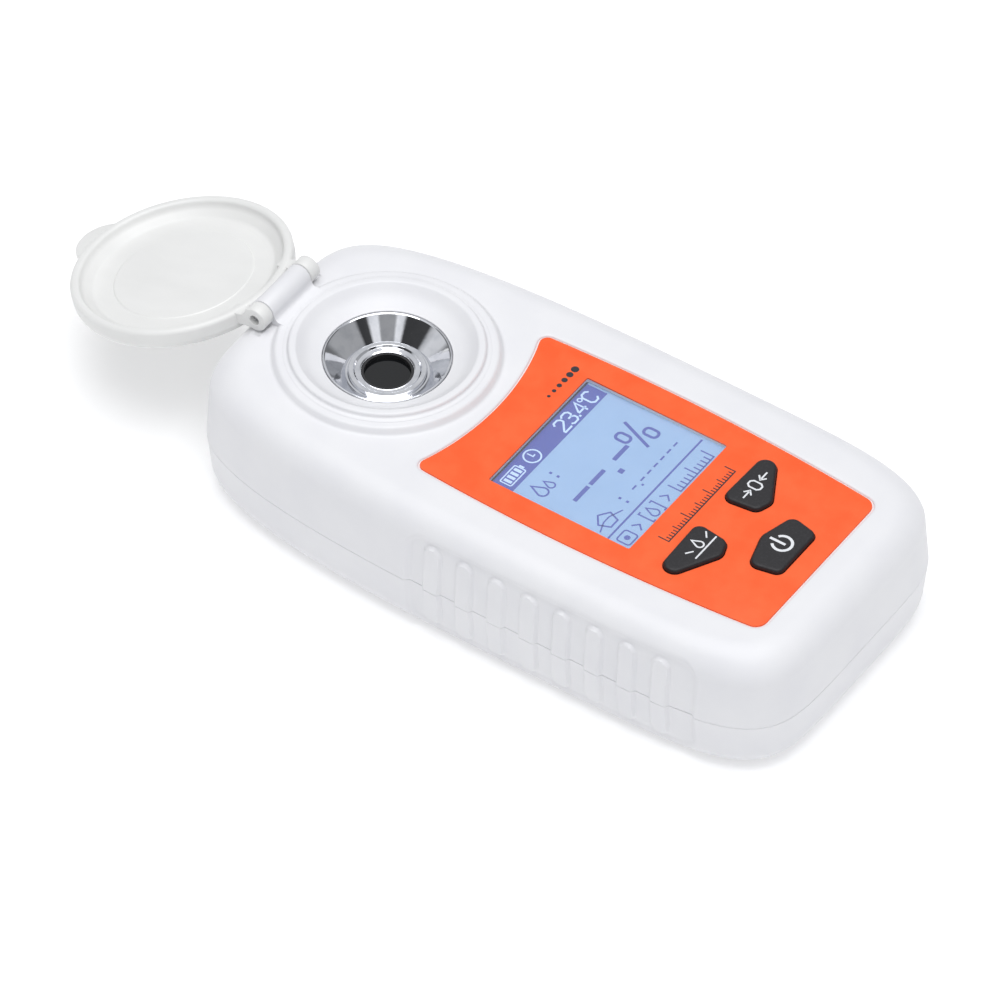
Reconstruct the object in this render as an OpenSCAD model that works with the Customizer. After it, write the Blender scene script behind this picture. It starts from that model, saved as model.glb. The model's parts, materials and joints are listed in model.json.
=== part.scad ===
// Pocket digital refractometer with a hinged lid over its sample cup.
// Units are millimetres. X is the width, +Y points to the lid hinge, +Z is up.
// The origin is at the middle of the flat underside.

/* [Case] */
// Length of the case, end to end
case_l = 120.6; // [116:0.2:126]
// Width of the case at its widest
case_w = 60.8; // [58:0.2:64]
// Height of the top face beside the display
top_z = 25.1; // [24.6:0.1:25.8]
// Rise of the top face towards the hinge, in degrees
top_tilt = 0.6; // [0:0.1:0.8]
// Height of the parting line between the two shells
part_z = 11.0; // [10.8:0.1:11.6]
// Wall thickness of both shells
wall = 2.0; // [1.6:0.1:2.2]
// Radius of the shoulder between side and top
shoulder_r = 5.5; // [4.5:0.1:6.5]
// Radius of the edge between side and underside
foot_r = 4.8; // [4:0.1:5]

/* [Side grips] */
// Where the grip recess starts, at the button end
grip_y0 = -46.2; // [-47:0.2:-45]
// Length of the grip recess
grip_l = 56.6; // [55:0.2:58]
// Depth of the grip recess
grip_depth = 0.7; // [0.4:0.1:1]
// Number of finger ribs on a side
rib_count = 8; // [5:1:9]
// Spacing of the finger ribs
rib_pitch = 6.43; // [6:0.01:6.6]
// Where the middle of the row of ribs is along the case
rib_mid_y = -17.05; // [-18.5:0.05:-16.5]
// Width of a finger rib
rib_w = 3.5; // [2.4:0.1:4]
// Height of the top ends of the ribs
rib_top_z = 20.7; // [18:0.1:21.6]

/* [Sample cup] */
// Distance of the cup's centre from the middle of the case
cup_y = 34.9; // [34:0.1:36]
// Radius of the chrome rim
cup_r = 10.8; // [10.4:0.1:11]
// Height of the chrome rim
cup_z = 24.8; // [24.6:0.1:25]
// Radius of the hole over the prism
cup_hole_r = 4.45; // [4:0.05:4.6]
// Outer radius of the step that the lid rests on
ring_r = 19.2; // [19:0.1:19.6]
// Height of that step
ring_z = 26.75; // [26.6:0.05:26.9]
// Outer radius of the raised lip round the bowl
lip_r = 16.7; // [16:0.1:16.8]
// Height of the raised lip
lip_z = 27.6; // [27.4:0.1:27.8]

/* [Lid] */
// Radius of the lid
lid_r = 19.3; // [19.1:0.1:19.4]
// Thickness of the lid with its skirt
lid_h = 4.1; // [3.9:0.1:4.3]
// Distance of the hinge axis from the middle of the case
hinge_y = 56.4; // [56.3:0.05:56.5]
// Height of the hinge axis
hinge_z = 27.85; // [27.8:0.05:28]
// Radius of the hinge knuckles
knuckle_r = 2.2; // [2:0.1:2.3]
// Length of the whole hinge barrel
barrel_l = 16; // [15.2:0.2:18]
// Length of the middle knuckle, which is part of the case
mid_knuckle_l = 10.8; // [10:0.2:11]
// Diameter of the hinge pin
pin_d = 1.8; // [1.4:0.1:1.9]
// How far the lid swings from closed to its stop
lid_swing = 193.5; // [180:0.5:194]

/* [Display] */
// Distance of the display's centre from the middle of the case
lcd_y = -9.55; // [-10:0.05:-9]
// Width of the window
lcd_w = 29.1; // [28:0.1:30]
// Length of the window
lcd_l = 27.9; // [27:0.1:29]
// Thickness of the label film
film_t = 0.3; // [0.2:0.05:0.35]
// Depth of the recess that holds the label film
label_recess = 0.4; // [0.3:0.05:0.5]

/* [Keys] */
// Distance of the two upper keys' centres from the display's centre
upper_key_dy = -23.8; // [-24.4:0.1:-23.4]
// Distance of those keys' centres from the middle plane
upper_key_x = 9.45; // [9:0.05:10]
// Distance of the power key's centre from the display's centre
power_key_dy = -34; // [-34.6:0.1:-33.8]
// How far a key stands above the case
key_rise = 0.7; // [0.4:0.1:1]
// Travel of a key
key_travel = 0.6; // [0.4:0.1:0.7]

/* [Batteries] */
// Diameter of an AAA cell
cell_d = 10.5; // [10:0.1:10.5]
// Length of an AAA cell with its button
cell_l = 44.5; // [43:0.1:44.5]
// Distance between the two cells' axes
cell_pitch = 11.6; // [11.4:0.1:12]
// Middle of the battery bay along the case
bay_y = -27.5; // [-28:0.5:-27]

/* [Hidden] */

eps = 0.01;
// Case details
seam = 0.15;
draft_top = 0.55;
draft_bottom = 0.5;
join_y = -13.75;
far_len = case_l / 2 - join_y;
near_len = case_l / 2 + join_y;
seal_in = 1.15;
seal_w = 0.45;
seal_h = 1;
boss_r = 3;
screw_r = 1;
screw_head_r = 2;
screw_head_z = 3.2;
screw_places = [[-20.5, 46], [20.5, 46], [-22.5, -48.5], [22.5, -48.5]];
// Label and display stack
label_far = 25.8;
label_near = -41.5;
label_half = 19.6;
label_bow = 0.00128;
label_arc_r = 50;
label_dip = 3.5;
label_corner = 2.2;
label_gap = 0.6;
lcd_bay = [lcd_w + 5, lcd_l + 5];
lcd_bay_top = 24.05;
lcd_fit = 0.15;
window_z = 24.1;
window_t = 0.8;
glass_z = 22.4;
glass_t = 1.6;
// Boards
board_z = 17.4;
board_t = 1.6;
board_top = board_z + board_t;
board_far_y = 12;
board_screw_places = [[-21.5, -34], [21.5, -34], [-21.5, 8.5], [21.5, 8.5]];
// Keys and their switches
key_gap = 0.15;
key_flange = 1;
key_bottom = -3.1;
stem_r = 1.2;
stem_low = 20.35;
switch_h = 2;
// Battery bay and door
door_w = 27;
door_l = 52;
door_t = 1.7;
door_z = 0.3;
door_gap = 0.15;
pivot_y = bay_y + door_l / 2 - door_t / 2;
pivot_z = door_z + door_t / 2;
pivot_r = 0.55;
cell_z = door_z + door_t + 0.35 + cell_d / 2;
cell_gap = 2.4;
bay_l = cell_l + 2 * cell_gap;
bay_w = 29;
bay_wall = 1.2;
bay_top = 10.6;
contact_t = 0.4;
// Surround of the cup
surround_r = lip_r + 0.2;
surround_hole_r = surround_r + 0.15;
ring_low = 22.6;
ring_skirt_z = 25.6;
ledge_r = 9.95;
ledge_z = 23.9;
flange_in = 14;
flange_r = 18.2;
flange_t = 0.9;
ear_boss_r = 2.1;
// Cup and optics
rim_low = ledge_z + 0.05;
cup_low = 20.75;
cup_wall_z = 21;
prism_z = 20.7;
prism_top_l = 19;
prism_bottom_l = 8.6;
prism_h = 8.8;
prism_w = 9;
face_tilt = atan2((prism_top_l - prism_bottom_l) / 2, prism_h);
face_y = (prism_top_l + prism_bottom_l) / 4;
face_z = prism_z - prism_h / 2;
led_out = 9;
sensor_out = 11;
housing_w = 16;
housing_top = 20.6;
housing_low = 5.5;
ear_x = 11.5;
// Lid
lid_low = ring_z + 0.5;
lid_top = lid_low + lid_h;
lid_edge = 1.9;
lid_floor_t = 1.75;
rim_t = 1.6;
knuckle_gap = 0.15;
lug_room = (barrel_l - mid_knuckle_l) / 2 + 1;
lug_clear = 0.5;
pin_hole_l = 30;
web_t = 2.8;
web_h = 3.4;
tab_r = 6;
tab_reach = 3.3;
tab_t = 1.6;
tab_turn = 4;
tab_up = 1.2;

// ---- shared outlines -------------------------------------------------------

// A power that keeps the sign, for the rounded outline
function signed_pow(v, e) = sign(v) * pow(abs(v), e);

// One point of the outline seen from above, with all sides moved in by an inset
function outline_point(a, inset) =
    let (far = a < 180)
    let (ex = far ? 2 / 5.9 : 2 / 5.7, ey = far ? 2 / 2.8 : 2 / 4.7)
    [(case_w / 2 - inset) * signed_pow(cos(a), ex),
     join_y + ((far ? far_len : near_len) - inset) * signed_pow(sin(a), ey)];

// The outline, with its points spread evenly enough for smooth corners
function outline(inset, n = 96) = [for (i = [0:n - 1]) outline_point(360 * i / n, inset)];

// Half-width of the outline at a place along the case
function side_x(y, inset) =
    let (far = y > join_y)
    let (len = (far ? far_len : near_len) - inset)
    let (s = pow(min(1, abs(y - join_y) / len), far ? 1.4 : 2.35))
    (case_w / 2 - inset) * pow(sqrt(1 - s * s), far ? 2 / 5.9 : 2 / 5.7);

// Places things in the sloping plane of the top face, with Y from the display's centre
module on_top() {
    translate([0, lcd_y, top_z]) rotate([top_tilt, 0, 0]) children();
}

// A thin level slice of the case
module slice(z, inset, n = 96) {
    translate([0, 0, z]) linear_extrude(eps) polygon(outline(inset, n));
}

// A thin slice parallel to the top face, a depth below it
module top_slice(depth, inset, n = 96) {
    on_top() translate([0, -lcd_y, -depth - eps]) linear_extrude(eps) polygon(outline(inset, n));
}

// Everything between two heights
module level_band(z, h) {
    translate([-case_w, -case_l, z]) cube([2 * case_w, 2 * case_l, h]);
}

// A box with rounded vertical edges, centred on X and Y
module rounded_box(size, r) {
    linear_extrude(size[2]) rounded_rect([size[0], size[1]], r);
}

module rounded_rect(size, r) {
    union() {
        square([size[0] - 2 * r, size[1]], center = true);
        square([size[0], size[1] - 2 * r], center = true);
        for (sx = [-1, 1], sy = [-1, 1])
            translate([sx * (size[0] / 2 - r), sy * (size[1] / 2 - r)]) circle(r, $fn = 32);
    }
}

// ---- case ------------------------------------------------------------------

// Outline with the grip recesses and their finger ribs
module grip_outline() {
    difference() {
        polygon(outline(0));
        for (side = [-1, 1]) difference() {
            translate([side * case_w / 2 - 4, grip_y0]) square([8, grip_l]);
            polygon(outline(grip_depth));
            for (i = [0:rib_count - 1]) {
                y = rib_mid_y + (i - (rib_count - 1) / 2) * rib_pitch;
                translate([side * (side_x(y, 0) - rib_w / 2 + 0.15), y]) circle(rib_w / 2, $fn = 24);
            }
        }
    }
}

module top_form() {
    hull() {
        slice(part_z, seam);
        slice(part_z + seam, 0);
        for (a = [0:15:90])
            top_slice(shoulder_r * (1 - sin(a)), draft_top + shoulder_r * (1 - cos(a)));
    }
}

module bottom_form() {
    hull() {
        for (a = [0:18:90])
            slice(foot_r * (1 - sin(a)), draft_bottom + foot_r * (1 - cos(a)));
        slice(part_z - seam, 0);
        slice(part_z - eps, seam);
    }
}

module top_cavity() {
    hull() {
        slice(part_z - 1, wall, 48);
        top_slice(wall + 3, wall + 0.7, 48);
        top_slice(wall, wall + 3, 48);
    }
}

module bottom_cavity() {
    hull() {
        slice(wall, wall + 3, 48);
        slice(wall + 2.4, wall + 0.7, 48);
        slice(part_z + 1, wall, 48);
    }
}

// Step that the lid rests on, round the hole that the surround stands in
module ring_step() {
    translate([0, cup_y, 0]) rotate_extrude($fn = 96)
        polygon([[surround_hole_r, ring_low], [ring_r + 0.5, ring_low], [ring_r + 0.2, ring_skirt_z],
                 [ring_r - 0.3, ring_z - 0.25], [ring_r - 0.9, ring_z],
                 [surround_hole_r + 0.2, ring_z], [surround_hole_r, ring_z - 0.3]]);
}

// White surround of the cup: raised lip, sloping bowl, ledge for the cup's rim and, below the
// case, a flange and two bosses for the optics
module cup_surround() {
    color("white") difference() {
        union() {
            translate([0, cup_y, 0]) rotate_extrude($fn = 96)
                polygon([[ledge_r, ring_low], [flange_in, ring_low], [flange_in, ring_low - flange_t],
                         [flange_r, ring_low - flange_t], [flange_r, ring_low],
                         [surround_r, ring_low], [surround_r, ring_z - 0.3],
                         [lip_r, ring_z + 0.2], [lip_r - 0.4, lip_z - 0.2], [lip_r - 0.9, lip_z],
                         [lip_r - 1.4, lip_z - 0.2], [cup_r + 0.3, cup_z + 0.1],
                         [cup_r + 0.05, cup_z], [cup_r + 0.05, ledge_z], [ledge_r, ledge_z]]);
            for (sx = [-1, 1])
                translate([sx * ear_x, cup_y, housing_top])
                    cylinder(h = ring_low + 0.1 - housing_top, r = ear_boss_r, $fn = 32);
        }
        for (sx = [-1, 1])
            translate([sx * ear_x, cup_y, housing_top - 1]) cylinder(h = 2.6, r = 0.8, $fn = 32);
    }
}

// Middle knuckle with the web that joins it to the case
module case_knuckle() {
    along_hinge(-mid_knuckle_l / 2, mid_knuckle_l, knuckle_r);
    translate([-mid_knuckle_l / 2, hinge_y - 2, hinge_z - web_h]) cube([mid_knuckle_l, web_t, web_h]);
}

// A cylinder on the hinge axis
module along_hinge(x, length, r) {
    translate([x, hinge_y, hinge_z]) rotate([0, 90, 0]) cylinder(h = length, r = r, $fn = 48);
}

module case_top() {
    color("white") difference() {
        union() {
            difference() {
                intersection() {
                    difference() {
                        top_form();
                        top_cavity();
                    }
                    union() {
                        translate([0, 0, part_z - 1])
                            linear_extrude(rib_top_z - part_z + 1) grip_outline();
                        level_band(rib_top_z, 10);
                    }
                }
                translate([0, cup_y, 20]) cylinder(h = 10, r = surround_hole_r, $fn = 96);
            }
            ring_step();
            case_knuckle();
            for (p = screw_places)
                translate([p[0], p[1], part_z]) cylinder(h = 12, r = boss_r, $fn = 32);
            for (p = board_screw_places)
                translate([p[0], p[1], board_top]) cylinder(h = 4.4, r = 2.3, $fn = 32);
        }
        on_top() translate([0, 0, -label_recess]) linear_extrude(3) label_outline(label_gap);
        translate([-lcd_bay[0] / 2, lcd_y - lcd_bay[1] / 2, glass_z - 1])
            cube([lcd_bay[0], lcd_bay[1], lcd_bay_top - glass_z + 1]);
        translate([0, lcd_y, glass_z]) rounded_box([lcd_w + lcd_fit, lcd_l + lcd_fit, 4], 0.3);
        for (k = [0:2])
            at_key(k) translate([0, 0, -4]) linear_extrude(6) key_outline(k, key_gap);
        for (p = screw_places)
            translate([p[0], p[1], part_z - 1]) cylinder(h = 9, r = screw_r + 0.02, $fn = 32);
        for (p = board_screw_places)
            translate([p[0], p[1], board_top - 1]) cylinder(h = 4, r = 0.8, $fn = 32);
        for (sx = [-1, 1])
            along_hinge(sx * (mid_knuckle_l + lug_room) / 2 - lug_room / 2 + sx * 0.05, lug_room,
                        knuckle_r + lug_clear);
        along_hinge(-pin_hole_l / 2, pin_hole_l, pin_d / 2);
        seal_ring(0.02);
    }
}

module case_bottom() {
    color("whitesmoke") difference() {
        union() {
            intersection() {
                difference() {
                    bottom_form();
                    bottom_cavity();
                }
                union() {
                    translate([0, 0, foot_r]) linear_extrude(part_z) grip_outline();
                    level_band(-1, foot_r + 1);
                }
            }
            for (p = screw_places)
                translate([p[0], p[1], 1]) cylinder(h = part_z - 1, r = boss_r, $fn = 32);
            battery_walls();
        }
        door_opening();
        for (p = screw_places) translate([p[0], p[1], -1]) {
            cylinder(h = 20, r = screw_r + 0.2, $fn = 32);
            cylinder(h = screw_head_z + 1, r = screw_head_r + 0.2, $fn = 32);
        }
        seal_ring(0.02);
    }
}

// Walls round the two cells, with a ledge that the door closes against
module battery_walls() {
    translate([0, bay_y, 1]) difference() {
        translate([-bay_w / 2 - bay_wall, -bay_l / 2 - bay_wall, 0])
            cube([bay_w + 2 * bay_wall, bay_l + 2 * bay_wall, bay_top - 1]);
        translate([-bay_w / 2, -bay_l / 2, 2.2]) cube([bay_w, bay_l, 20]);
        translate([-door_w / 2 + 1.2, -bay_l / 2, -1]) cube([door_w - 2.4, bay_l, 20]);
    }
}

// Hole for the door, with the bores for its two pivots
module door_opening() {
    translate([-door_w / 2 + 1.2, bay_y - bay_l / 2, -1]) cube([door_w - 2.4, bay_l, 6]);
    translate([-door_w / 2 - door_gap, bay_y - door_l / 2 - door_gap, -1])
        cube([door_w + 2 * door_gap, door_l + 2 * door_gap, 1.08 + door_z + door_t]);
    translate([-door_w / 2 - 1.3, pivot_y, pivot_z]) rotate([0, 90, 0])
        cylinder(h = door_w + 2.6, r = pivot_r + 0.07, $fn = 32);
}

// Cord seal that lies in a groove in both shells
module seal_ring(grow) {
    translate([0, 0, part_z - seal_h / 2 - grow]) linear_extrude(seal_h + 2 * grow) difference() {
        polygon(outline(seal_in - grow));
        polygon(outline(seal_in + seal_w + grow));
    }
}

module case_seal() {
    color("dimgray") seal_ring(0);
}

module case_screws() {
    color("silver") for (p = screw_places) translate([p[0], p[1], 0]) difference() {
        union() {
            translate([0, 0, screw_head_z - 1.8]) cylinder(h = 1.8, r = screw_head_r, $fn = 32);
            translate([0, 0, screw_head_z - 0.1]) cylinder(h = 14, r = screw_r, $fn = 32);
        }
        cross_slot(screw_head_z - 1.8);
    }
}

// Cross recess in a screw head that faces down
module cross_slot(z) {
    for (a = [0, 90]) rotate([0, 0, a]) translate([-1.2, -0.25, z - 1]) cube([2.4, 0.5, 1.9]);
}

// ---- battery bay -----------------------------------------------------------

module battery_door() {
    color("whitesmoke") difference() {
        union() {
            translate([-door_w / 2, bay_y - door_l / 2, door_z])
                cube([door_w, pivot_y - bay_y + door_l / 2, door_t]);
            translate([-door_w / 2, pivot_y, pivot_z]) rotate([0, 90, 0])
                cylinder(h = door_w, r = door_t / 2, $fn = 32);
            translate([-door_w / 2 - 1.2, pivot_y, pivot_z]) rotate([0, 90, 0])
                cylinder(h = door_w + 2.4, r = pivot_r, $fn = 32);
        }
        // thumb notch at the free end
        translate([0, bay_y - door_l / 2 - 1.5, door_z - 1]) cylinder(h = 1.8, r = 6, $fn = 48);
        // two slits that let the latch end flex
        for (sx = [-1, 1]) translate([sx * 8 - 0.4, bay_y - door_l / 2 - 1, door_z - 1])
            cube([0.8, 9, 5]);
    }
}

// An AAA cell along Y, its positive end towards +Y
module cell() {
    body_l = cell_l - 1;
    rotate([90, 0, 0]) translate([0, 0, -cell_l / 2]) {
        cylinder(h = 1.2, r = 1.9, $fn = 32);
        translate([0, 0, 1]) cylinder(h = body_l, r = cell_d / 2, $fn = 48);
    }
}

module battery_1() {
    color("darkgreen") translate([-cell_pitch / 2, bay_y, cell_z]) cell();
}

module battery_2() {
    color("darkgreen") translate([cell_pitch / 2, bay_y, cell_z]) rotate([0, 0, 180]) cell();
}

// Ring of points round a wire at one step along a cone-shaped spring
function spring_ring(t, turns, r0, r1, h, wire, sides) =
    let (a = 360 * turns * t, r = r0 + (r1 - r0) * t)
    [for (k = [0:sides - 1]) let (b = 360 * k / sides)
        [(r + wire * cos(b)) * cos(a), (r + wire * cos(b)) * sin(a), h * t + wire * sin(b)]];

// Cone-shaped contact spring, wound along +Z
module spring(turns, r0, r1, h, wire) {
    steps = 48;
    sides = 8;
    points = [for (i = [0:steps]) each spring_ring(i / steps, turns, r0, r1, h, wire, sides)];
    walls = [for (i = [0:steps - 1], k = [0:sides - 1]) let (n = (k + 1) % sides)
        [i * sides + k, i * sides + n, (i + 1) * sides + n, (i + 1) * sides + k]];
    first = [for (k = [0:sides - 1]) sides - 1 - k];
    last = [for (k = [0:sides - 1]) steps * sides + k];
    polyhedron(points, concat([first], walls, [last]), convexity = 6);
}

module contact_springs() {
    wire = 0.25;
    room = cell_gap - contact_t - 2 * wire;
    color("silver") for (end = [-1, 1])
        translate([end * cell_pitch / 2, bay_y + end * (bay_l / 2 - contact_t - wire), cell_z])
            rotate([end * 90, 0, 0]) spring(2.5, 3.6, 2.2, room, wire);
}

// Flat contacts: one bridge at the button end, two with tails up to the board
module contact_plates() {
    color("silver") {
        translate([-10.5, bay_y - bay_l / 2, 3.4]) cube([21, contact_t, 8]);
        for (sx = [-1, 1]) {
            translate([sx * cell_pitch / 2 - 4.6, bay_y + bay_l / 2 - contact_t, 3.4])
                cube([9.2, contact_t, 8]);
            translate([sx * cell_pitch / 2 - 1.2, bay_y + bay_l / 2 - contact_t, 11])
                cube([2.4, contact_t, board_z - 11]);
        }
        for (end = [-1, 1])
            translate([-end * cell_pitch / 2, bay_y + end * (bay_l / 2 - contact_t), cell_z])
                rotate([end * 90, 0, 0]) cylinder(h = cell_gap - contact_t, r = 1.6, $fn = 32);
    }
}

// ---- label, display and keys -----------------------------------------------

// A point on the label's bowed right side
function label_side(v) = [label_half - label_bow * v * v, v];

// Label seen from above; grow moves every edge out
module label_outline(grow = 0) {
    arc_y = label_far - label_dip + label_arc_r;
    side = [for (i = [0:12]) label_side(label_near + (label_far + 0.1 - label_near) * i / 12)];
    offset(r = grow) offset(r = label_corner, $fn = 48)
        offset(delta = -label_corner) difference() {
            polygon(concat(side, [for (i = [12:-1:0]) [-side[i][0], side[i][1]]]));
            translate([0, arc_y]) circle(label_arc_r, $fn = 180);
        }
}

// Left key seen from above, round its own centre
module side_key_outline(grow = 0) {
    hull() {
        translate([-4, 1.6]) circle(1.9 + grow, $fn = 32);
        translate([4.15, 2.15]) circle(1.6 + grow, $fn = 32);
        translate([2.2, -1.55]) circle(2.1 + grow, $fn = 32);
        translate([3.6, -1.5]) circle(1.7 + grow, $fn = 32);
    }
}

module power_key_outline(grow = 0) {
    hull() {
        translate([0, 1.4]) circle(2.3 + grow, $fn = 32);
        for (sx = [-1, 1]) {
            translate([sx * 4.7, 0.7]) circle(1.7 + grow, $fn = 32);
            translate([sx * 4.3, -2.1]) circle(1.5 + grow, $fn = 32);
        }
    }
}

module key_outline(which, grow = 0) {
    if (which == 2) power_key_outline(grow);
    else side_key_outline(grow);
}

// Puts a child at a key: 0 left, 1 right, 2 power
module at_key(which) {
    on_top() {
        if (which == 0) translate([-upper_key_x, upper_key_dy, 0]) children();
        if (which == 1) translate([upper_key_x, upper_key_dy, 0]) mirror([1, 0, 0]) children();
        if (which == 2) translate([0, power_key_dy, 0]) children();
    }
}

// Centre of a key's switch on the board
function key_x(which) = which == 2 ? 0 : which == 0 ? -upper_key_x : upper_key_x;
function key_y(which) = lcd_y + (which == 2 ? power_key_dy : upper_key_dy);

module key(which) {
    color([0.18, 0.18, 0.19]) at_key(which) {
        translate([0, 0, key_bottom]) linear_extrude(-key_bottom + key_rise - 0.3) key_outline(which);
        translate([0, 0, key_rise - 0.3]) linear_extrude(0.3) key_outline(which, -0.3);
        translate([0, 0, key_bottom]) linear_extrude(1) key_outline(which, key_flange);
    }
}

module button_left() { key(0); }
module button_right() { key(1); }
module button_power() { key(2); }

// Plunger of one switch, which moves with its key
module switch_stem(which) {
    top = top_z + (key_y(which) - lcd_y) * tan(top_tilt) + key_bottom - 0.02;
    color("black") translate([key_x(which), key_y(which), stem_low])
        cylinder(h = top - stem_low, r = stem_r, $fn = 32);
}

module switch_stem_left() { switch_stem(0); }
module switch_stem_right() { switch_stem(1); }
module switch_stem_power() { switch_stem(2); }

// Three push switches, each with a well for its plunger
module key_switches() {
    color("silver") for (k = [0:2]) translate([key_x(k), key_y(k), board_top]) difference() {
        rounded_box([6, 6, switch_h], 0.6);
        translate([0, 0, 0.6]) cylinder(h = 4, r = stem_r + 0.08, $fn = 32);
    }
}

module label_overlay() {
    color([1, 0.42, 0.22]) on_top() translate([0, 0, -label_recess]) linear_extrude(film_t)
        difference() {
            label_outline();
            square([lcd_w, lcd_l], center = true);
            translate([-upper_key_x, upper_key_dy]) side_key_outline(key_gap);
            translate([upper_key_x, upper_key_dy]) mirror([1, 0]) side_key_outline(key_gap);
            translate([0, power_key_dy]) power_key_outline(key_gap);
        }
}

module lcd_window() {
    color([0.8, 0.9, 1, 0.3]) translate([0, lcd_y, window_z])
        rounded_box([lcd_w - 0.1, lcd_l - 0.1, window_t], 0.2);
}

module lcd_glass() {
    color("lightblue") translate([0, lcd_y, glass_z])
        rounded_box([lcd_w + 2.4, lcd_l + 2.4, glass_t], 0.2);
}

module lcd_backlight() {
    color("ivory") translate([0, lcd_y, board_top + 0.8])
        rounded_box([lcd_w + 2.4, lcd_l + 2.4, glass_z - board_top - 0.8], 0.2);
}

// Tray that holds the backlight and the glass on the board
module lcd_frame() {
    color("black") translate([0, lcd_y, board_top]) difference() {
        rounded_box([lcd_w + 4.4, lcd_l + 4.4, glass_z + glass_t - board_top - 0.3], 0.8);
        translate([0, 0, 0.8]) rounded_box([lcd_w + 2.5, lcd_l + 2.5, 8], 0.25);
        translate([-9, -lcd_l / 2 - 3, -1]) cube([18, 3, 12]);
    }
}

// Flat cable that folds from the glass down to the board
module lcd_flex() {
    y0 = lcd_y - lcd_l / 2 - 1.2;
    color("goldenrod") translate([-8, y0, 0]) rotate([90, 0, 90]) linear_extrude(16)
        difference() {
            translate([-1.6, board_top]) square([1.6, glass_z + 0.4 - board_top]);
            translate([-1.45, board_top + 0.15]) square([1.45, glass_z + 0.1 - board_top]);
        }
}

// ---- boards ----------------------------------------------------------------

module main_board() {
    color("darkgreen") translate([0, 0, board_z]) linear_extrude(board_t) difference() {
        intersection() {
            polygon(outline(4, 48));
            translate([-case_w, -case_l]) square([2 * case_w, case_l + board_far_y]);
        }
        for (p = screw_places) translate(p) circle(boss_r + 0.4, $fn = 32);
        for (p = board_screw_places) translate(p) circle(0.95, $fn = 32);
    }
}

module board_screws() {
    color("silver") for (p = board_screw_places) translate([p[0], p[1], 0]) difference() {
        union() {
            translate([0, 0, board_z - 1.3]) cylinder(h = 1.3, r = 1.8, $fn = 32);
            translate([0, 0, board_z - 0.1]) cylinder(h = 4.6, r = 0.78, $fn = 32);
        }
        cross_slot(board_z - 1.3);
    }
}

module processor_chip() {
    color([0.12, 0.12, 0.13]) translate([-12, 1.5, board_z - 1.4]) rounded_box([10, 10, 1.4], 0.3);
}

// Crystal, memory chip, capacitors and coil on the underside of the board
module board_components() {
    color("dimgray") {
        translate([-2, 3, board_z - 2.2]) rounded_box([4.5, 9, 2.2], 1);
        translate([6, 5, board_z - 1.3]) rounded_box([5, 4, 1.3], 0.2);
        translate([14, 3, board_z - 3]) cylinder(h = 3, r = 2.4, $fn = 32);
        for (i = [0:3]) translate([18.5, -6 + 4 * i, board_z - 0.9]) rounded_box([1.6, 2.4, 0.9], 0.1);
        for (i = [0:4]) translate([-19, -24 + 5 * i, board_z - 0.9]) rounded_box([2, 1.2, 0.9], 0.1);
    }
}

// ---- sample cup and optics -------------------------------------------------

// Polished funnel that the sample drops are put into
module sample_cup() {
    color("silver") translate([0, cup_y, 0]) rotate_extrude($fn = 96)
        polygon([[cup_hole_r, cup_wall_z], [cup_hole_r, 21.5], [4.7, 21.6], [5.5, 21.75],
                 [6, 22.05], [6.5, 22.05], [6.8, 21.4], [7.1, 21.4], [10.35, cup_z - 0.05],
                 [10.55, cup_z], [cup_r, cup_z - 0.05], [cup_r, rim_low], [9.85, rim_low],
                 [9.85, 23.3], [7.6, cup_low], [6.35, cup_low], [6.35, cup_wall_z]]);
}

// Rubber collar between the cup and the prism
module prism_seal() {
    color([0.1, 0.1, 0.1]) translate([0, cup_y, 0]) rotate_extrude($fn = 64)
        polygon([[4, prism_z], [6.2, prism_z], [6.2, cup_wall_z], [cup_hole_r - 0.05, cup_wall_z],
                 [cup_hole_r - 0.05, 21.45], [4, 21.45]]);
}

// Prism outline from the side, as [along the case, height]
function prism_side(gap) =
    [[-prism_top_l / 2 - gap, prism_z], [prism_top_l / 2 + gap, prism_z],
     [prism_bottom_l / 2 + gap, prism_z - prism_h - gap],
     [-prism_bottom_l / 2 - gap, prism_z - prism_h - gap]];

// Extrudes a side view along X, centred on the cup
module across_cup(width) {
    translate([-width / 2, cup_y, 0]) rotate([90, 0, 90]) linear_extrude(width) children();
}

module prism() {
    color([0.75, 0.85, 0.9, 0.6]) across_cup(prism_w) polygon(prism_side(0));
}

// Frame on a slanted prism face: +Z runs out along the light path. side 1 lamp, -1 sensor
module on_face(side) {
    translate([0, cup_y + side * face_y, face_z]) rotate([side * -(90 + face_tilt), 0, 0]) children();
}

// Point on the light path, in the side view, moved along the face by a shift
function ray_point(side, out, shift) =
    [side * (face_y + out * cos(face_tilt) + shift * sin(face_tilt)),
     face_z - out * sin(face_tilt) + shift * cos(face_tilt)];

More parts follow.
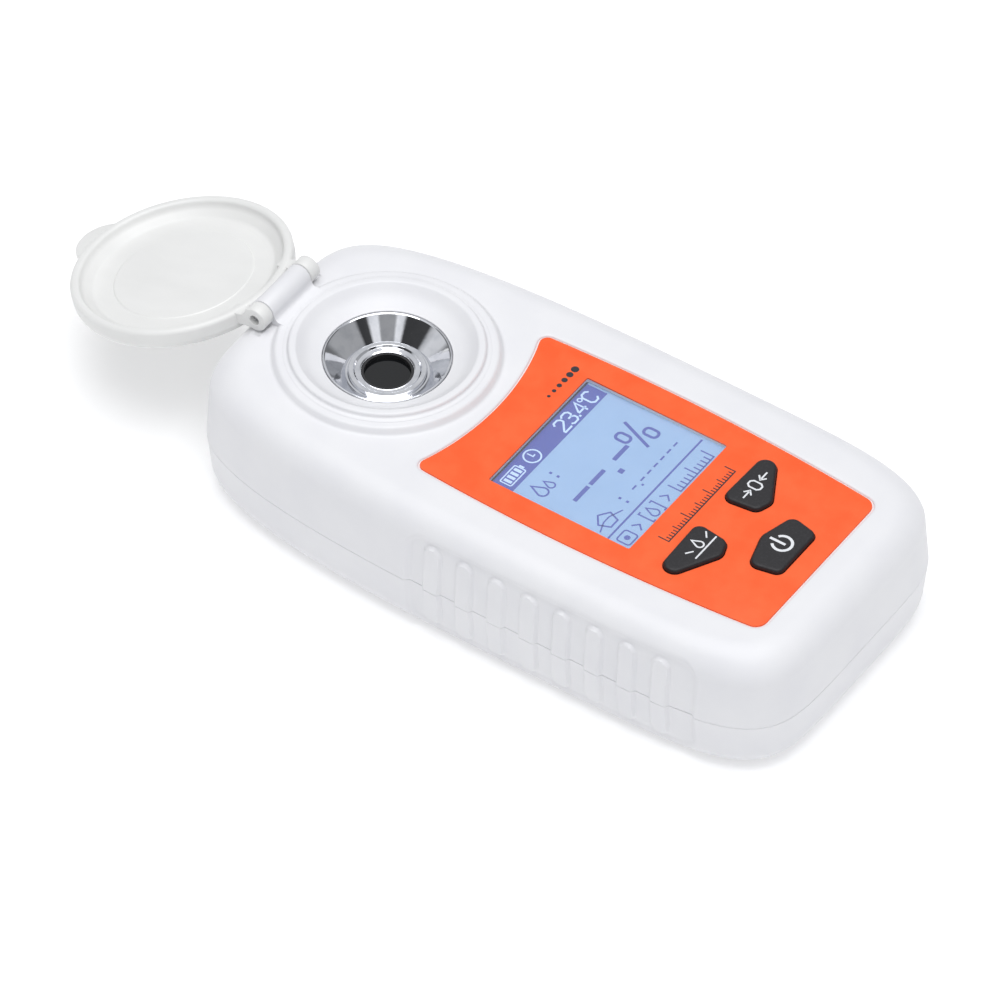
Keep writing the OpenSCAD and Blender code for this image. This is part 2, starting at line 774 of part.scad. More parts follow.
module optics_housing() {
    color([0.13, 0.13, 0.14]) difference() {
        union() {
            across_cup(housing_w) polygon([
                [-12.5, housing_top], [12.5, housing_top],
                ray_point(1, led_out, 4.5), ray_point(1, led_out, -4.5),
                [11, housing_low], [-13.3, housing_low],
                ray_point(-1, sensor_out, -5.5), ray_point(-1, sensor_out, 5.5)]);
            for (sx = [-1, 1]) {
                translate([sx * ear_x, cup_y, housing_top - 3]) cylinder(h = 3, r = 2.6, $fn = 32);
                translate([sx * 9 - 2.5, cup_y - 2.6, housing_top - 3]) cube([5, 5.2, 3]);
            }
        }
        across_cup(prism_w + 0.1) polygon(prism_side(0.05));
        translate([-prism_w / 2 - 0.05, cup_y - prism_top_l / 2 - 0.05, prism_z - 0.2])
            cube([prism_w + 0.1, prism_top_l + 0.1, 3]);
        on_face(1) {
            translate([0, 0, -0.5]) cylinder(h = 12, r = 1.55, $fn = 32);
            translate([0, 0, led_out - 1.1]) cylinder(h = 3, r = 1.9, $fn = 32);
        }
        on_face(-1) {
            translate([0, 0, -0.5]) cylinder(h = 12, r = 2.2, $fn = 32);
            translate([0, 0, 3]) cylinder(h = 12, r = 2.9, $fn = 32);
            translate([-5, -2.5, sensor_out - 1.5]) cube([10, 5, 4]);
        }
        for (sx = [-1, 1])
            translate([sx * ear_x, cup_y, housing_top - 4]) cylinder(h = 6, r = 0.95, $fn = 32);
        translate([6.2, cup_y - 5, housing_top - 4]) cylinder(h = 6, r = 0.95, $fn = 32);
    }
}

module optics_screws() {
    color("silver") for (sx = [-1, 1]) translate([sx * ear_x, cup_y, 0]) difference() {
        union() {
            translate([0, 0, housing_top - 4.3]) cylinder(h = 1.3, r = 1.8, $fn = 32);
            translate([0, 0, housing_top - 3.1]) cylinder(h = 4.5, r = 0.78, $fn = 32);
        }
        cross_slot(housing_top - 4.3);
    }
}

module led_lamp() {
    color("gold") on_face(1) {
        translate([0, 0, led_out - 1]) cylinder(h = 0.95, r = 1.85, $fn = 32);
        translate([0, 0, led_out - 3.6]) cylinder(h = 2.8, r = 1.5, $fn = 32);
        translate([0, 0, led_out - 3.6]) sphere(1.5, $fn = 32);
    }
}

module led_board() {
    color("darkgreen") on_face(1) translate([0, 0, led_out]) rounded_box([9, 8, 1], 0.5);
}

module collimating_lens() {
    color([0.8, 0.9, 1, 0.5]) on_face(-1) intersection() {
        translate([0, 0, 3]) cylinder(h = 1.8, r = 2.85, $fn = 48);
        translate([0, 0, -2.4]) sphere(7.2, $fn = 48);
    }
}

module line_sensor() {
    color([0.15, 0.15, 0.16]) on_face(-1) translate([0, 0, sensor_out - 1.3])
        rounded_box([9, 4.2, 1.3], 0.2);
}

module sensor_board() {
    color("darkgreen") on_face(-1) translate([0, 0, sensor_out]) rounded_box([15, 10.6, 1], 0.6);
}

// Point on a smooth curve with two end points and two handles
function curve_point(p, t) =
    pow(1 - t, 3) * p[0] + 3 * t * pow(1 - t, 2) * p[1] + 3 * t * t * (1 - t) * p[2] + pow(t, 3) * p[3];

// Flat cable from the sensor board to the underside of the main board
module sensor_flex() {
    half_t = 0.12;
    start = ray_point(-1, sensor_out + 1.1, 0) + [cup_y, 0];
    finish = [board_far_y - 4, board_z - half_t - 0.02];
    handles = [start, start + [-4.5, -2.6], finish + [5, 0], finish];
    path = [for (i = [0:12]) curve_point(handles, i / 12)];
    side = [for (i = [0:12]) let (a = path[max(0, i - 1)], b = path[min(12, i + 1)], d = b - a)
        [-d[1], d[0]] / norm(d) * half_t];
    color("goldenrod") translate([-4, 0, 0]) rotate([90, 0, 90]) linear_extrude(8)
        polygon(concat([for (i = [0:12]) path[i] + side[i]],
                       [for (i = [12:-1:0]) path[i] - side[i]]));
}

// Temperature probe in the housing, close under the cup
module thermistor() {
    color("saddlebrown") translate([6.2, cup_y - 5, housing_top - 3.4])
        cylinder(h = 3.45, r = 0.9, $fn = 32);
}

// ---- lid -------------------------------------------------------------------

// Lid as it lies closed over the cup
module lid_closed() {
    difference() {
        union() {
            translate([0, cup_y, 0]) rotate_extrude($fn = 128)
                polygon(concat(
                    [[0, lid_top], [lid_r - lid_edge, lid_top]],
                    [for (a = [75:-15:0])
                        [lid_r - lid_edge + lid_edge * cos(a), lid_top - lid_edge + lid_edge * sin(a)]],
                    [[lid_r, lid_low + 0.4], [lid_r - 0.4, lid_low], [lid_r - rim_t + 0.3, lid_low],
                     [lid_r - rim_t, lid_low + 0.3], [lid_r - rim_t - 0.5, lid_low + 1.2],
                     [lid_r - 3.2, lid_top - 1.9], [lid_r - 4.2, lid_top - lid_floor_t + 0.15],
                     [12.2, lid_top - lid_floor_t + 0.15], [11.9, lid_top - lid_floor_t],
                     [0, lid_top - lid_floor_t]]));
            finger_tab();
            for (sx = [-1, 1])
                translate([sx * (mid_knuckle_l / 2 + barrel_l / 2 + knuckle_gap) / 2 - lug_w() / 2, 0, 0])
                    lid_lug();
        }
        along_hinge(-mid_knuckle_l / 2 - knuckle_gap, mid_knuckle_l + 2 * knuckle_gap, knuckle_r + 0.25);
        along_hinge(-pin_hole_l / 2, pin_hole_l, pin_d / 2 + 0.06);
        translate([0, cup_y, lid_low - 2]) cylinder(h = 2.8, r = lid_r - rim_t - 0.1, $fn = 96);
    }
}

function lug_w() = barrel_l / 2 - mid_knuckle_l / 2 - knuckle_gap;

// Knuckle of the lid with the web that joins it to the rim
module lid_lug() {
    translate([0, hinge_y, hinge_z]) rotate([90, 0, 90]) linear_extrude(lug_w()) {
        circle(knuckle_r, $fn = 48);
        polygon([[0, lid_low + 0.1 - hinge_z], [-4.4, lid_low + 0.1 - hinge_z], [-4.4, 1.9],
                 [0, knuckle_r]]);
    }
}

// Rounded lobe at the rim for a fingertip
module finger_tab() {
    translate([0, cup_y, lid_low + tab_up]) rotate([0, 0, tab_turn]) difference() {
        translate([0, tab_r - tab_reach - lid_r, 0]) cylinder(h = tab_t, r = tab_r, $fn = 64);
        translate([-10, 0.8 - lid_r, -1]) cube([20, 10, tab_t + 2]);
    }
}

module lid() {
    color("white") translate([0, hinge_y, hinge_z]) rotate([-lid_swing, 0, 0])
        translate([0, -hinge_y, -hinge_z]) lid_closed();
}

module hinge_pin() {
    color("silver") along_hinge(-barrel_l / 2 + 0.9, barrel_l - 1.8, pin_d / 2);
}

case_top();
case_bottom();
case_seal();
case_screws();
cup_surround();
battery_door();
battery_1();
battery_2();
contact_springs();
contact_plates();
main_board();
board_screws();
processor_chip();
board_components();
key_switches();
switch_stem_left();
switch_stem_right();
switch_stem_power();
button_left();
button_right();
button_power();
label_overlay();
lcd_window();
lcd_glass();
lcd_backlight();
lcd_frame();
lcd_flex();
sample_cup();
prism_seal();
prism();
optics_housing();
optics_screws();
led_lamp();
led_board();
collimating_lens();
line_sensor();
sensor_board();
sensor_flex();
thermistor();
lid();
hinge_pin();
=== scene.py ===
"""Looks of the pocket digital refractometer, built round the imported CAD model.

Lengths are millimetres until a mesh is made, and then metres. X is the width, +Y points to the
lid hinge and +Z is up. Places on the sloping top face are given as (x, v, h): across, along from
the display's centre, and up from the face.
"""

import json
import math

import bmesh
import bpy
import numpy as np
from mathutils import Matrix, Vector
from mathutils.geometry import delaunay_2d_cdt


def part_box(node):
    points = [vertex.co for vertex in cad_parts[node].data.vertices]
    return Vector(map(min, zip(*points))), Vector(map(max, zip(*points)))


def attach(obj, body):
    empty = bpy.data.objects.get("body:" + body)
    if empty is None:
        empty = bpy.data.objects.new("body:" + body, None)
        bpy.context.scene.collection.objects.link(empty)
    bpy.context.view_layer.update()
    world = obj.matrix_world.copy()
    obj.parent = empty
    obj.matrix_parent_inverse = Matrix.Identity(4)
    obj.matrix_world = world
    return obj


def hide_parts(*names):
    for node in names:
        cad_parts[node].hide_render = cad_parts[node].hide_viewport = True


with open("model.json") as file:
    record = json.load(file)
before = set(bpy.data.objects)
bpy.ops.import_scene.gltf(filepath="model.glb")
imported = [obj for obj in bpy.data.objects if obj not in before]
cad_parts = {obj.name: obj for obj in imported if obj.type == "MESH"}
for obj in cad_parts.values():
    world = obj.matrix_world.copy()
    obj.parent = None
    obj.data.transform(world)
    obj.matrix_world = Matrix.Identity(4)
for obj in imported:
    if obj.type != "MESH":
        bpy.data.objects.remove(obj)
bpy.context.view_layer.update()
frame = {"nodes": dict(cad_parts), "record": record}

MM = 0.001
TAU = 2 * math.pi


def box_mm(node):
    low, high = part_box(node)
    return np.array(low) / MM, np.array(high) / MM


def joint(name):
    return next(j for j in frame["record"]["behaviour"]["joints"] if j["name"] == name)


# ---- sizes, from the frame ------------------------------------------------------------------

bottom_low, bottom_high = box_mm("case_bottom")
HALF_W = bottom_high[0]
HALF_L = bottom_high[1]
PART_Z = bottom_high[2]
cup_low, cup_high = box_mm("sample_cup")
CUP_R = cup_high[0]
CUP_Y = (cup_low[1] + cup_high[1]) / 2
CUP_Z = cup_high[2]
pane_low, pane_high = box_mm("lcd_window")
LCD_Y = (pane_low[1] + pane_high[1]) / 2
WINDOW_W = pane_high[0] - pane_low[0] + 0.1
WINDOW_L = pane_high[1] - pane_low[1] + 0.1
GLASS_TOP = box_mm("lcd_glass")[1][2]
HINGE = np.array(joint("lid_hinge")["pos_m"]) / MM
pin_low, pin_high = box_mm("hinge_pin")
PIN_R = (pin_high[2] - pin_low[2]) / 2
door_low, door_high = box_mm("battery_door")
surround_high = box_mm("cup_surround")[1]
LIP_TOP = surround_high[2]

# ---- sizes of the design ----------------------------------------------------------------------

TOP_Z = 25.1            # height of the top face beside the display
TILT = math.radians(0.6)
SHOULDER_R = 5.5
FOOT_R = 4.8
DRAFT_TOP = 0.55
DRAFT_BOTTOM = 0.5
JOIN_Y = -13.75         # where the two halves of the outline meet
FAR_EXP = (5.9, 2.8)    # roundness of the outline's far half, across and along
NEAR_EXP = (5.7, 4.7)
WALL = 2.0
SEAM = 0.1
LABEL_DEPTH = 0.4
FILM_T = 0.3
RING_R = 19.2
RING_Z = 26.75
RING_FOOT_R = 20.3
RING_BASE = 25.55       # the top face under the ring's crown
RING_LOW = 22.6         # underside of the ring
HOLE_R = 16.95          # hole in the ring that the surround stands in
LID_R = 19.3
LID_LOW = 27.25
LID_TOP = 31.35
SWING = math.radians(193.5)     # from closed and level to the open stop
KNUCKLE_R = 2.2
BARREL_L = 16.0
MID_L = 10.8
LUG_GAP = 0.15
LUG_ROOM = (BARREL_L - MID_L) / 2 + 1
PIN_HOLE_HALF = 15.0
GRIP_LOW, GRIP_HIGH = -46.3, 10.5       # ends of the pressed-in panel along Y
GRIP_TOP, GRIP_BOTTOM = 22.1, 2.2
GRIP_R = 3.4
GRIP_DEPTH = 0.7
RIBS = 8
RIB_MID, RIB_PITCH, RIB_R = -17.05, 6.43, 1.85
RIB_TOP, RIB_BOTTOM = 20.85, 3.1
BAY_Y, BAY_HALF = -27.5, 24.65          # middle and half length of the battery bay
SCREWS = [(-20.5, 46), (20.5, 46), (-22.5, -48.5), (22.5, -48.5)]
KEYS = {
    "left": dict(x=-9.45, v=-23.8),
    "right": dict(x=9.45, v=-23.8),
    "power": dict(x=0.0, v=-34.0),
}
KEY_RISE = 0.7
KEY_LOW = -3.1
KEY_GAP = 0.15
PIXEL = 0.235           # pitch of the display's dots


# ---- flat outlines ----------------------------------------------------------------------------

def arc(centre, r, a0, a1, n):
    a = np.linspace(a0, a1, n)
    return np.column_stack([centre[0] + r * np.cos(a), centre[1] + r * np.sin(a)])


def circle(x, y, r, n=96):
    return arc((x, y), r, 0, TAU, n + 1)[:-1]


def rectangle(w, l, r=0.0, x=0.0, y=0.0, turn=6.0):
    corners = [(-w / 2, -l / 2), (w / 2, -l / 2), (w / 2, l / 2), (-w / 2, l / 2)]
    return rounded([(a + x, b + y, r) for a, b in corners], closed=True, turn=turn)


def rounded(corners, closed=False, turn=6.0):
    """A line through corners given as (x, y, radius), with each corner rounded."""
    pts = [np.array(c[:2], float) for c in corners]
    out = []
    n = len(corners)
    for i, corner in enumerate(corners):
        r = corner[2]
        if r <= 0 or (not closed and i in (0, n - 1)):
            out.append(pts[i])
            continue
        back = pts[i - 1] - pts[i]
        on = pts[(i + 1) % n] - pts[i]
        lb, lo = np.linalg.norm(back), np.linalg.norm(on)
        back, on = back / lb, on / lo
        half = math.acos(max(-1.0, min(1.0, float(back @ on)))) / 2
        if half > math.pi / 2 - 0.01:
            out.append(pts[i])
            continue
        t = min(r / math.tan(half), 0.49 * lb, 0.49 * lo)
        r = t * math.tan(half)
        mid = (back + on) / np.linalg.norm(back + on)
        centre = pts[i] + mid * r / math.sin(half)
        s, e = pts[i] + back * t - centre, pts[i] + on * t - centre
        a0, a1 = math.atan2(s[1], s[0]), math.atan2(e[1], e[0])
        sweep = (a1 - a0 + math.pi) % TAU - math.pi
        steps = max(2, math.ceil(abs(math.degrees(sweep)) / turn))
        out.extend(arc(centre, r, a0, a0 + sweep, steps + 1))
    return np.array(out)


def mitred(before, after):
    """Left-hand normals between two steps of a line, long enough to keep its width at a bend."""
    n0, n1 = [np.column_stack([-e[:, 1], e[:, 0]]) / np.linalg.norm(e, axis=1)[:, None]
              for e in (before, after)]
    n = n0 + n1
    n /= np.maximum(np.linalg.norm(n, axis=1)[:, None], 1e-9)
    return n / np.maximum((n * n1).sum(1), 0.5)[:, None]


def grow(line, d):
    """A closed line moved outwards by d."""
    side = 1.0 if area(line) > 0 else -1.0
    return line - mitred(line - np.roll(line, 1, 0), np.roll(line, -1, 0) - line) * side * d


def area(line):
    x, y = line[:, 0], line[:, 1]
    return 0.5 * float(np.sum(x * np.roll(y, -1) - np.roll(x, -1) * y))


def hull_2d(points):
    pts = sorted(map(tuple, points))

    def half(seq):
        out = []
        for p in seq:
            while len(out) > 1 and ((out[-1][0] - out[-2][0]) * (p[1] - out[-2][1])
                                    - (out[-1][1] - out[-2][1]) * (p[0] - out[-2][0])) <= 0:
                out.pop()
            out.append(p)
        return out[:-1]

    return np.array(half(pts) + half(pts[::-1]))


def resampled(line, spacing):
    """A closed line with points spread evenly along it."""
    ring = np.vstack([line, line[:1]])
    run = np.concatenate([[0], np.cumsum(np.linalg.norm(np.diff(ring, axis=0), axis=1))])
    n = max(8, round(run[-1] / spacing))
    at = np.linspace(0, run[-1], n + 1)[:-1]
    return np.column_stack([np.interp(at, run, ring[:, 0]), np.interp(at, run, ring[:, 1])])


def key_outline(which):
    if which == "power":
        blobs = [(0, 1.4, 2.3), (4.7, 0.7, 1.7), (-4.7, 0.7, 1.7), (4.3, -2.1, 1.5), (-4.3, -2.1, 1.5)]
    else:
        side = 1 if which == "left" else -1
        blobs = [(-4, 1.6, 1.9), (4.15, 2.15, 1.6), (2.2, -1.55, 2.1), (3.6, -1.5, 1.7)]
        blobs = [(side * x, y, r) for x, y, r in blobs]
    line = resampled(hull_2d(np.vstack([circle(x, y, r, 120) for x, y, r in blobs])), 0.22)
    return line + np.array([KEYS[which]["x"], KEYS[which]["v"]])


def label_outline():
    """The label: gently bowed sides and a hollow far edge that follows the ring."""
    far, near, dip, arc_r, corner = 25.8, -41.5, 3.5, 50.0, 2.2
    along = np.linspace(near, far, 41)
    half = 19.6 - 0.00128 * along ** 2
    centre = (0, far - dip + arc_r)
    a = math.asin(half[-1] / arc_r)
    hollow = arc(centre, arc_r, -math.pi / 2 + a, -math.pi / 2 - a, 41)
    keep = 3.4
    right = [(w, v, 0) for w, v in zip(half, along) if near + keep < v < far - keep]
    left = [(-w, v, 0) for w, v, _ in right[::-1]]
    hollow = [(x, y, 0) for x, y in hollow if abs(x) < half[-1] - keep]
    far_y = centre[1] - math.sqrt(arc_r ** 2 - half[-1] ** 2)
    corners = ([(half[0], near, corner)] + right + [(half[-1], far_y, corner)] + hollow
               + [(-half[-1], far_y, corner)] + left + [(-half[0], near, corner)])
    return resampled(rounded(corners, closed=True), 0.35)


# ---- meshes -----------------------------------------------------------------------------------

class Shape:
    """Collects points in millimetres and faces, and becomes one Blender object."""

    def __init__(self):
        self.points = []
        self.faces = []

    def add(self, points, faces):
        base = len(self.points)
        self.points.extend(map(tuple, np.asarray(points, float)))
        self.faces.extend([tuple(base + i for i in f) for f in faces])
        return self

    def loft(self, loops, caps=True, closed=True, wrap=False):
        """Quads between loops of equal length; wrap joins the last loop to the first."""
        loops = [np.asarray(l, float) for l in loops]
        n = len(loops[0])
        faces = []
        rows = len(loops)
        for k in range(rows if wrap else rows - 1):
            a, b = k * n, ((k + 1) % rows) * n
            for i in range(n if closed else n - 1):
                j = (i + 1) % n
                faces.append((a + i, a + j, b + j, b + i))
        if caps and not wrap:
            faces.append(tuple(range(n))[::-1])
            faces.append(tuple(range((rows - 1) * n, rows * n)))
        return self.add(np.vstack(loops), faces)

    def object(self, name, material, smooth=35, weld=1e-4):
        mesh = bpy.data.meshes.new(name)
        mesh.from_pydata([(x * MM, y * MM, z * MM) for x, y, z in self.points], [], self.faces)
        bm = bmesh.new()
        bm.from_mesh(mesh)
        bmesh.ops.remove_doubles(bm, verts=bm.verts, dist=weld * MM)
        bmesh.ops.recalc_face_normals(bm, faces=bm.faces)
        bm.to_mesh(mesh)
        bm.free()
        if material:
            mesh.materials.append(material)
        obj = bpy.data.objects.new(name, mesh)
        bpy.context.scene.collection.objects.link(obj)
        shade(obj, smooth)
        return obj


def shade(obj, angle):
    mesh = obj.data
    mesh.polygons.foreach_set("use_smooth", [True] * len(mesh.polygons))
    mesh.set_sharp_from_angle(angle=math.radians(angle))
    mesh.update()


def flat(line, z):
    """A flat line at height z."""
    return np.column_stack([line, np.full(len(line), z)])


def lathe(profile, centre, n=360):
    """A turned solid about a vertical line through centre, from a closed profile of (r, z)."""
    return Shape().loft([flat(circle(*centre, r, n), z) for r, z in profile], wrap=True)


def carve(obj, tools, operation="DIFFERENCE", smooth=35):
    """Cuts tools out of an object, or joins them to it, for good."""
    for tool in tools:
        mod = obj.modifiers.new("carve", "BOOLEAN")
        mod.operation = operation
        mod.solver = "EXACT"
        mod.object = tool
    evaluated = obj.evaluated_get(bpy.context.evaluated_depsgraph_get())
    mesh = bpy.data.meshes.new_from_object(evaluated)
    obj.modifiers.clear()
    old = obj.data
    obj.data = mesh
    mesh.name = old.name
    bpy.data.meshes.remove(old)
    for tool in tools:
        bpy.data.objects.remove(tool)
    shade(obj, smooth)


def fill_flat(outer, holes, extra=()):
    """Triangles of a flat region between an outer line and its holes, as (points, faces)."""
    lines = [outer] + list(holes)
    points, edges = [], []
    for line in lines:
        base, n = len(points), len(line)
        points.extend(Vector(p) for p in line)
        edges.extend((base + i, base + (i + 1) % n) for i in range(n))
    points.extend(Vector(p) for p in extra)
    verts, _, tris, *_ = delaunay_2d_cdt(points, edges, [], 1, 1e-6)
    xy = np.array([tuple(v) for v in verts])
    tris = np.array(tris)
    mid = xy[tris].mean(axis=1)
    keep = np.ones(len(tris), bool)
    for hole in holes:
        keep &= ~inside(mid, hole)
    return xy, tris[keep]


def inside(points, line):
    """Which points lie inside a closed line."""
    x, y = points[:, 0], points[:, 1]
    result = np.zeros(len(points), bool)
    for (x0, y0), (x1, y1) in zip(line, np.roll(line, -1, 0)):
        if y0 == y1:
            continue
        crosses = (y0 > y) != (y1 > y)
        result ^= crosses & (x < (x1 - x0) * (y - y0) / (y1 - y0) + x0)
    return result


def on_top(x, v, h):
    """Points on the sloping top face."""
    x, v, h = np.broadcast_arrays(np.asarray(x, float), np.asarray(v, float), np.asarray(h, float))
    return np.column_stack([x.ravel(), (LCD_Y + v * math.cos(TILT) - h * math.sin(TILT)).ravel(),
                            (TOP_Z + v * math.sin(TILT) + h * math.cos(TILT)).ravel()])


def plate(line, levels):
    """A solid on the top face from one flat outline with levels of (outward offset, height)."""
    return Shape().loft([on_top(*grow(line, d).T, h) for d, h in levels])


def step(x, low, high):
    t = np.clip((x - low) / (high - low), 0, 1)
    return t * t * (3 - 2 * t)


# ---- materials --------------------------------------------------------------------------------

def srgb(hex_code):
    """A colour as it looks on screen, turned into linear values."""
    parts = [int(hex_code[i:i + 2], 16) / 255 for i in (0, 2, 4)]
    return [p / 12.92 if p <= 0.04045 else ((p + 0.055) / 1.055) ** 2.4 for p in parts] + [1.0]


class Tree:
    """A node tree with short ways to add what finishes and the studio share."""

    def __init__(self, tree):
        self.tree = tree

    def new(self, kind, **settings):
        node = self.tree.nodes.new(kind)
        for key, value in settings.items():
            setattr(node, key, value)
        return node

    def link(self, a, b):
        self.tree.links.new(a, b)

    def give(self, socket, value):
        """Links an output to a socket, or sets the socket to a plain value."""
        if hasattr(value, "is_linked"):
            self.link(value, socket)
        else:
            socket.default_value = value

    def fill(self, node, **inputs):
        """Gives values to a node's inputs; an underscore stands for a space."""
        for name, value in inputs.items():
            self.give(node.inputs[name.replace("_", " ")], value)
        return node

    def math(self, operation, *values):
        node = self.new("ShaderNodeMath", operation=operation)
        for socket, value in zip(node.inputs, values):
            self.give(socket, value)
        return node.outputs[0]

    def ramp(self, value, low, high, a, b):
        node = self.new("ShaderNodeMapRange")
        return self.fill(node, From_Min=low, From_Max=high, To_Min=a, To_Max=b, Value=value).outputs["Result"]

    def mix(self, factor, a, b):
        node = self.new("ShaderNodeMix", data_type="RGBA")
        self.link(factor, node.inputs["Factor"])
        for socket, value in zip([s for s in node.inputs if s.type == "RGBA"], (a, b)):
            self.give(socket, value)
        return [s for s in node.outputs if s.type == "RGBA"][0]


class Nodes(Tree):
    """The node tree of a new material, with its shader and the object's own coordinates."""

    def __init__(self, name):
        self.material = bpy.data.materials.new(name)
        self.material.use_nodes = True
        super().__init__(self.material.node_tree)
        self.shader = self.tree.nodes["Principled BSDF"]
        self.coords = self.new("ShaderNodeTexCoord").outputs["Object"]

    def scaled_coords(self, scale):
        node = self.new("ShaderNodeMapping")
        return self.fill(node, Scale=scale, Vector=self.coords).outputs["Vector"]

    def noise(self, size_mm, detail=3.0, stretch=(1, 1, 1)):
        """Noise whose blobs are about size_mm across."""
        place = self.scaled_coords([s / (size_mm * MM) for s in stretch])
        node = self.new("ShaderNodeTexNoise")
        return self.fill(node, Scale=1.0, Detail=detail, Vector=place).outputs["Fac"]

    def bump(self, value, height_mm, normal=None):
        node = self.fill(self.new("ShaderNodeBump"), Strength=1.0, Distance=height_mm * MM, Height=value)
        if normal:
            self.link(normal, node.inputs["Normal"])
        return node.outputs["Normal"]

    def set(self, **sockets):
        for name, value in sockets.items():
            self.give(self.shader.inputs[name.replace("_", " ").title().replace("Ior", "IOR")], value)


def scaled(color, k):
    return [min(1.0, c * k) for c in color[:3]] + [1.0]


def plain(name, color, rough=0.5, metal=0.0, grain_mm=0.3, grain_height=0.004, spread=0.06,
          stretch=(1, 1, 1), **sockets):
    """A finish with a fine grain, a slow change of colour and a varying gloss."""
    m = Nodes(name)
    blotch = m.noise(6.0, 2.0)
    grain = m.noise(grain_mm, 3.0, stretch)
    dark, light = scaled(srgb(color), 1 - 0.06), scaled(srgb(color), 1 + 0.03)
    m.set(base_color=m.mix(m.ramp(blotch, 0.3, 0.7, 0, 1), dark, light))
    m.set(roughness=m.ramp(grain, 0.3, 0.7, rough - spread, rough + spread), metallic=metal)
    m.set(normal=m.bump(grain, grain_height))
    m.set(**sockets)
    return m.material


def moulded(name, clouds, cloud_top, colors, grain_mm, wave, rough, **sockets):
    """Satin moulded plastic: fine spark texture, very slight waviness and faint clouds of tone."""
    m = Nodes(name)
    base = m.mix(m.ramp(m.noise(*clouds), 0.35, cloud_top, 0, 1), *map(srgb, colors))
    grain = m.noise(grain_mm)
    m.set(base_color=base, roughness=m.ramp(grain, 0.3, 0.7, rough, rough + 0.1))
    m.set(normal=m.bump(grain, 0.004, m.bump(m.noise(wave[0], 2.0), wave[1])), **sockets)
    return m.material


def label_film():
    """Printed film: matt pebbled surface with tiny light specks."""
    m = Nodes("label_orange")
    speck = m.noise(0.18, 2.0)
    cloud = m.noise(5.0, 2.0)
    body = m.mix(m.ramp(cloud, 0.35, 0.65, 0, 1), srgb("fc602c"), srgb("fa6835"))
    base = m.mix(m.ramp(speck, 0.58, 0.74, 0, 0.16), body, srgb("ff8a60"))
    pebble = m.noise(0.13, 2.0)
    m.set(base_color=base, roughness=m.ramp(pebble, 0.3, 0.7, 0.5, 0.64))
    m.set(normal=m.bump(pebble, 0.008), specular_ior_level=0.35)
    return m.material


def key_rubber():
    m = Nodes("key_rubber")
    grain = m.noise(0.14, 4.0)
    dust = m.noise(0.5, 4.0)
    base = m.mix(m.ramp(dust, 0.5, 0.78, 0, 0.5), srgb("201f22"), srgb("353438"))
    m.set(base_color=base, roughness=m.ramp(grain, 0.3, 0.7, 0.42, 0.6))
    m.set(normal=m.bump(grain, 0.012), specular_ior_level=0.4)
    return m.material


def chrome():
    """Polished cup: mirror finish with faint turning lines and a few hazy spots."""
    m = Nodes("chrome_cup")
    haze = m.noise(2.2, 4.0)
    fine = m.noise(0.9, 3.0, (1, 1, 2.5))
    m.set(base_color=m.mix(m.ramp(haze, 0.4, 0.7, 0, 1), srgb("e9eaee"), srgb("d9dbe0")))
    m.set(metallic=1.0, roughness=m.ramp(haze, 0.35, 0.75, 0.03, 0.09))
    m.set(normal=m.bump(fine, 0.0035))
    return m.material


def screen_base():
    """Pale blue lit display with its pixel grid."""
    m = Nodes("screen")
    grid = m.new("ShaderNodeTexBrick", offset=0.0, squash=1.0)
    m.fill(grid, Vector=m.scaled_coords([1 / MM] * 3), Scale=1.0, Mortar_Size=0.018, Mortar_Smooth=0.4,
           Color1=srgb("94b5db"), Color2=srgb("91b2d9"), Mortar=srgb("85a7d2"),
           Brick_Width=PIXEL, Row_Height=PIXEL)
    cloud = m.noise(7.0, 2.0)
    base = m.mix(m.ramp(cloud, 0.3, 0.7, 0, 0.35), grid.outputs["Color"], srgb("9dbde2"))
    m.set(base_color=base, emission_color=base, emission_strength=0.1)
    m.set(roughness=m.ramp(cloud, 0, 1, 0.2, 0.3))
    return m.material


def ink(name, color, rough=0.4, glow=0.0):
    """Printed or displayed marks with a slightly uneven density."""
    m = Nodes(name)
    wear = m.noise(0.25, 3.0)
    base = m.mix(m.ramp(wear, 0.35, 0.7, 0, 1), srgb(color), scaled(srgb(color), 1.12))
    m.set(base_color=base, roughness=m.ramp(wear, 0.3, 0.7, rough - 0.05, rough + 0.05))
    if glow:
        m.set(emission_color=base, emission_strength=glow)
    return m.material


def clear(name, colors, alpha, clouds, rough, **sockets):
    """See-through plastic or glass with a faint haze."""
    m = Nodes(name)
    haze = m.noise(*clouds)
    m.set(base_color=m.mix(haze, *colors), alpha=alpha, roughness=m.ramp(haze, 0.3, 0.7, *rough), **sockets)
    return m.material


def clear_glass(name, color, alpha):
    tint = srgb(color)
    return clear(name, (tint, scaled(tint, 0.85)), alpha, (3.0, 2.0), (0.03, 0.08), ior=1.5)


def banded_cell():
    """Battery sleeve with bare metal ends, told apart by distance from the cell's middle."""
    m = Nodes("cell_sleeve")
    split = m.new("ShaderNodeSeparateXYZ")
    m.link(m.coords, split.inputs[0])
    low, high = box_mm("battery_1")
    middle, half = (low[1] + high[1]) / 2, (high[1] - low[1]) / 2
    dist = m.math("ABSOLUTE", m.math("SUBTRACT", split.outputs["Y"], middle * MM))
    metal = m.ramp(dist, (half - 1.7) * MM, (half - 1.6) * MM, 0, 1)
    band = m.ramp(dist, (half - 11.0) * MM, (half - 10.9) * MM, 0, 1)
    print_color = m.mix(band, srgb("1d4b7a"), srgb("c9a24a"))
    m.set(base_color=m.mix(metal, print_color, srgb("c8c8c6")))
    wear = m.noise(0.8, 3.0)
    m.set(metallic=metal, roughness=m.ramp(wear, 0.3, 0.7, 0.25, 0.38), normal=m.bump(wear, 0.003))
    return m.material


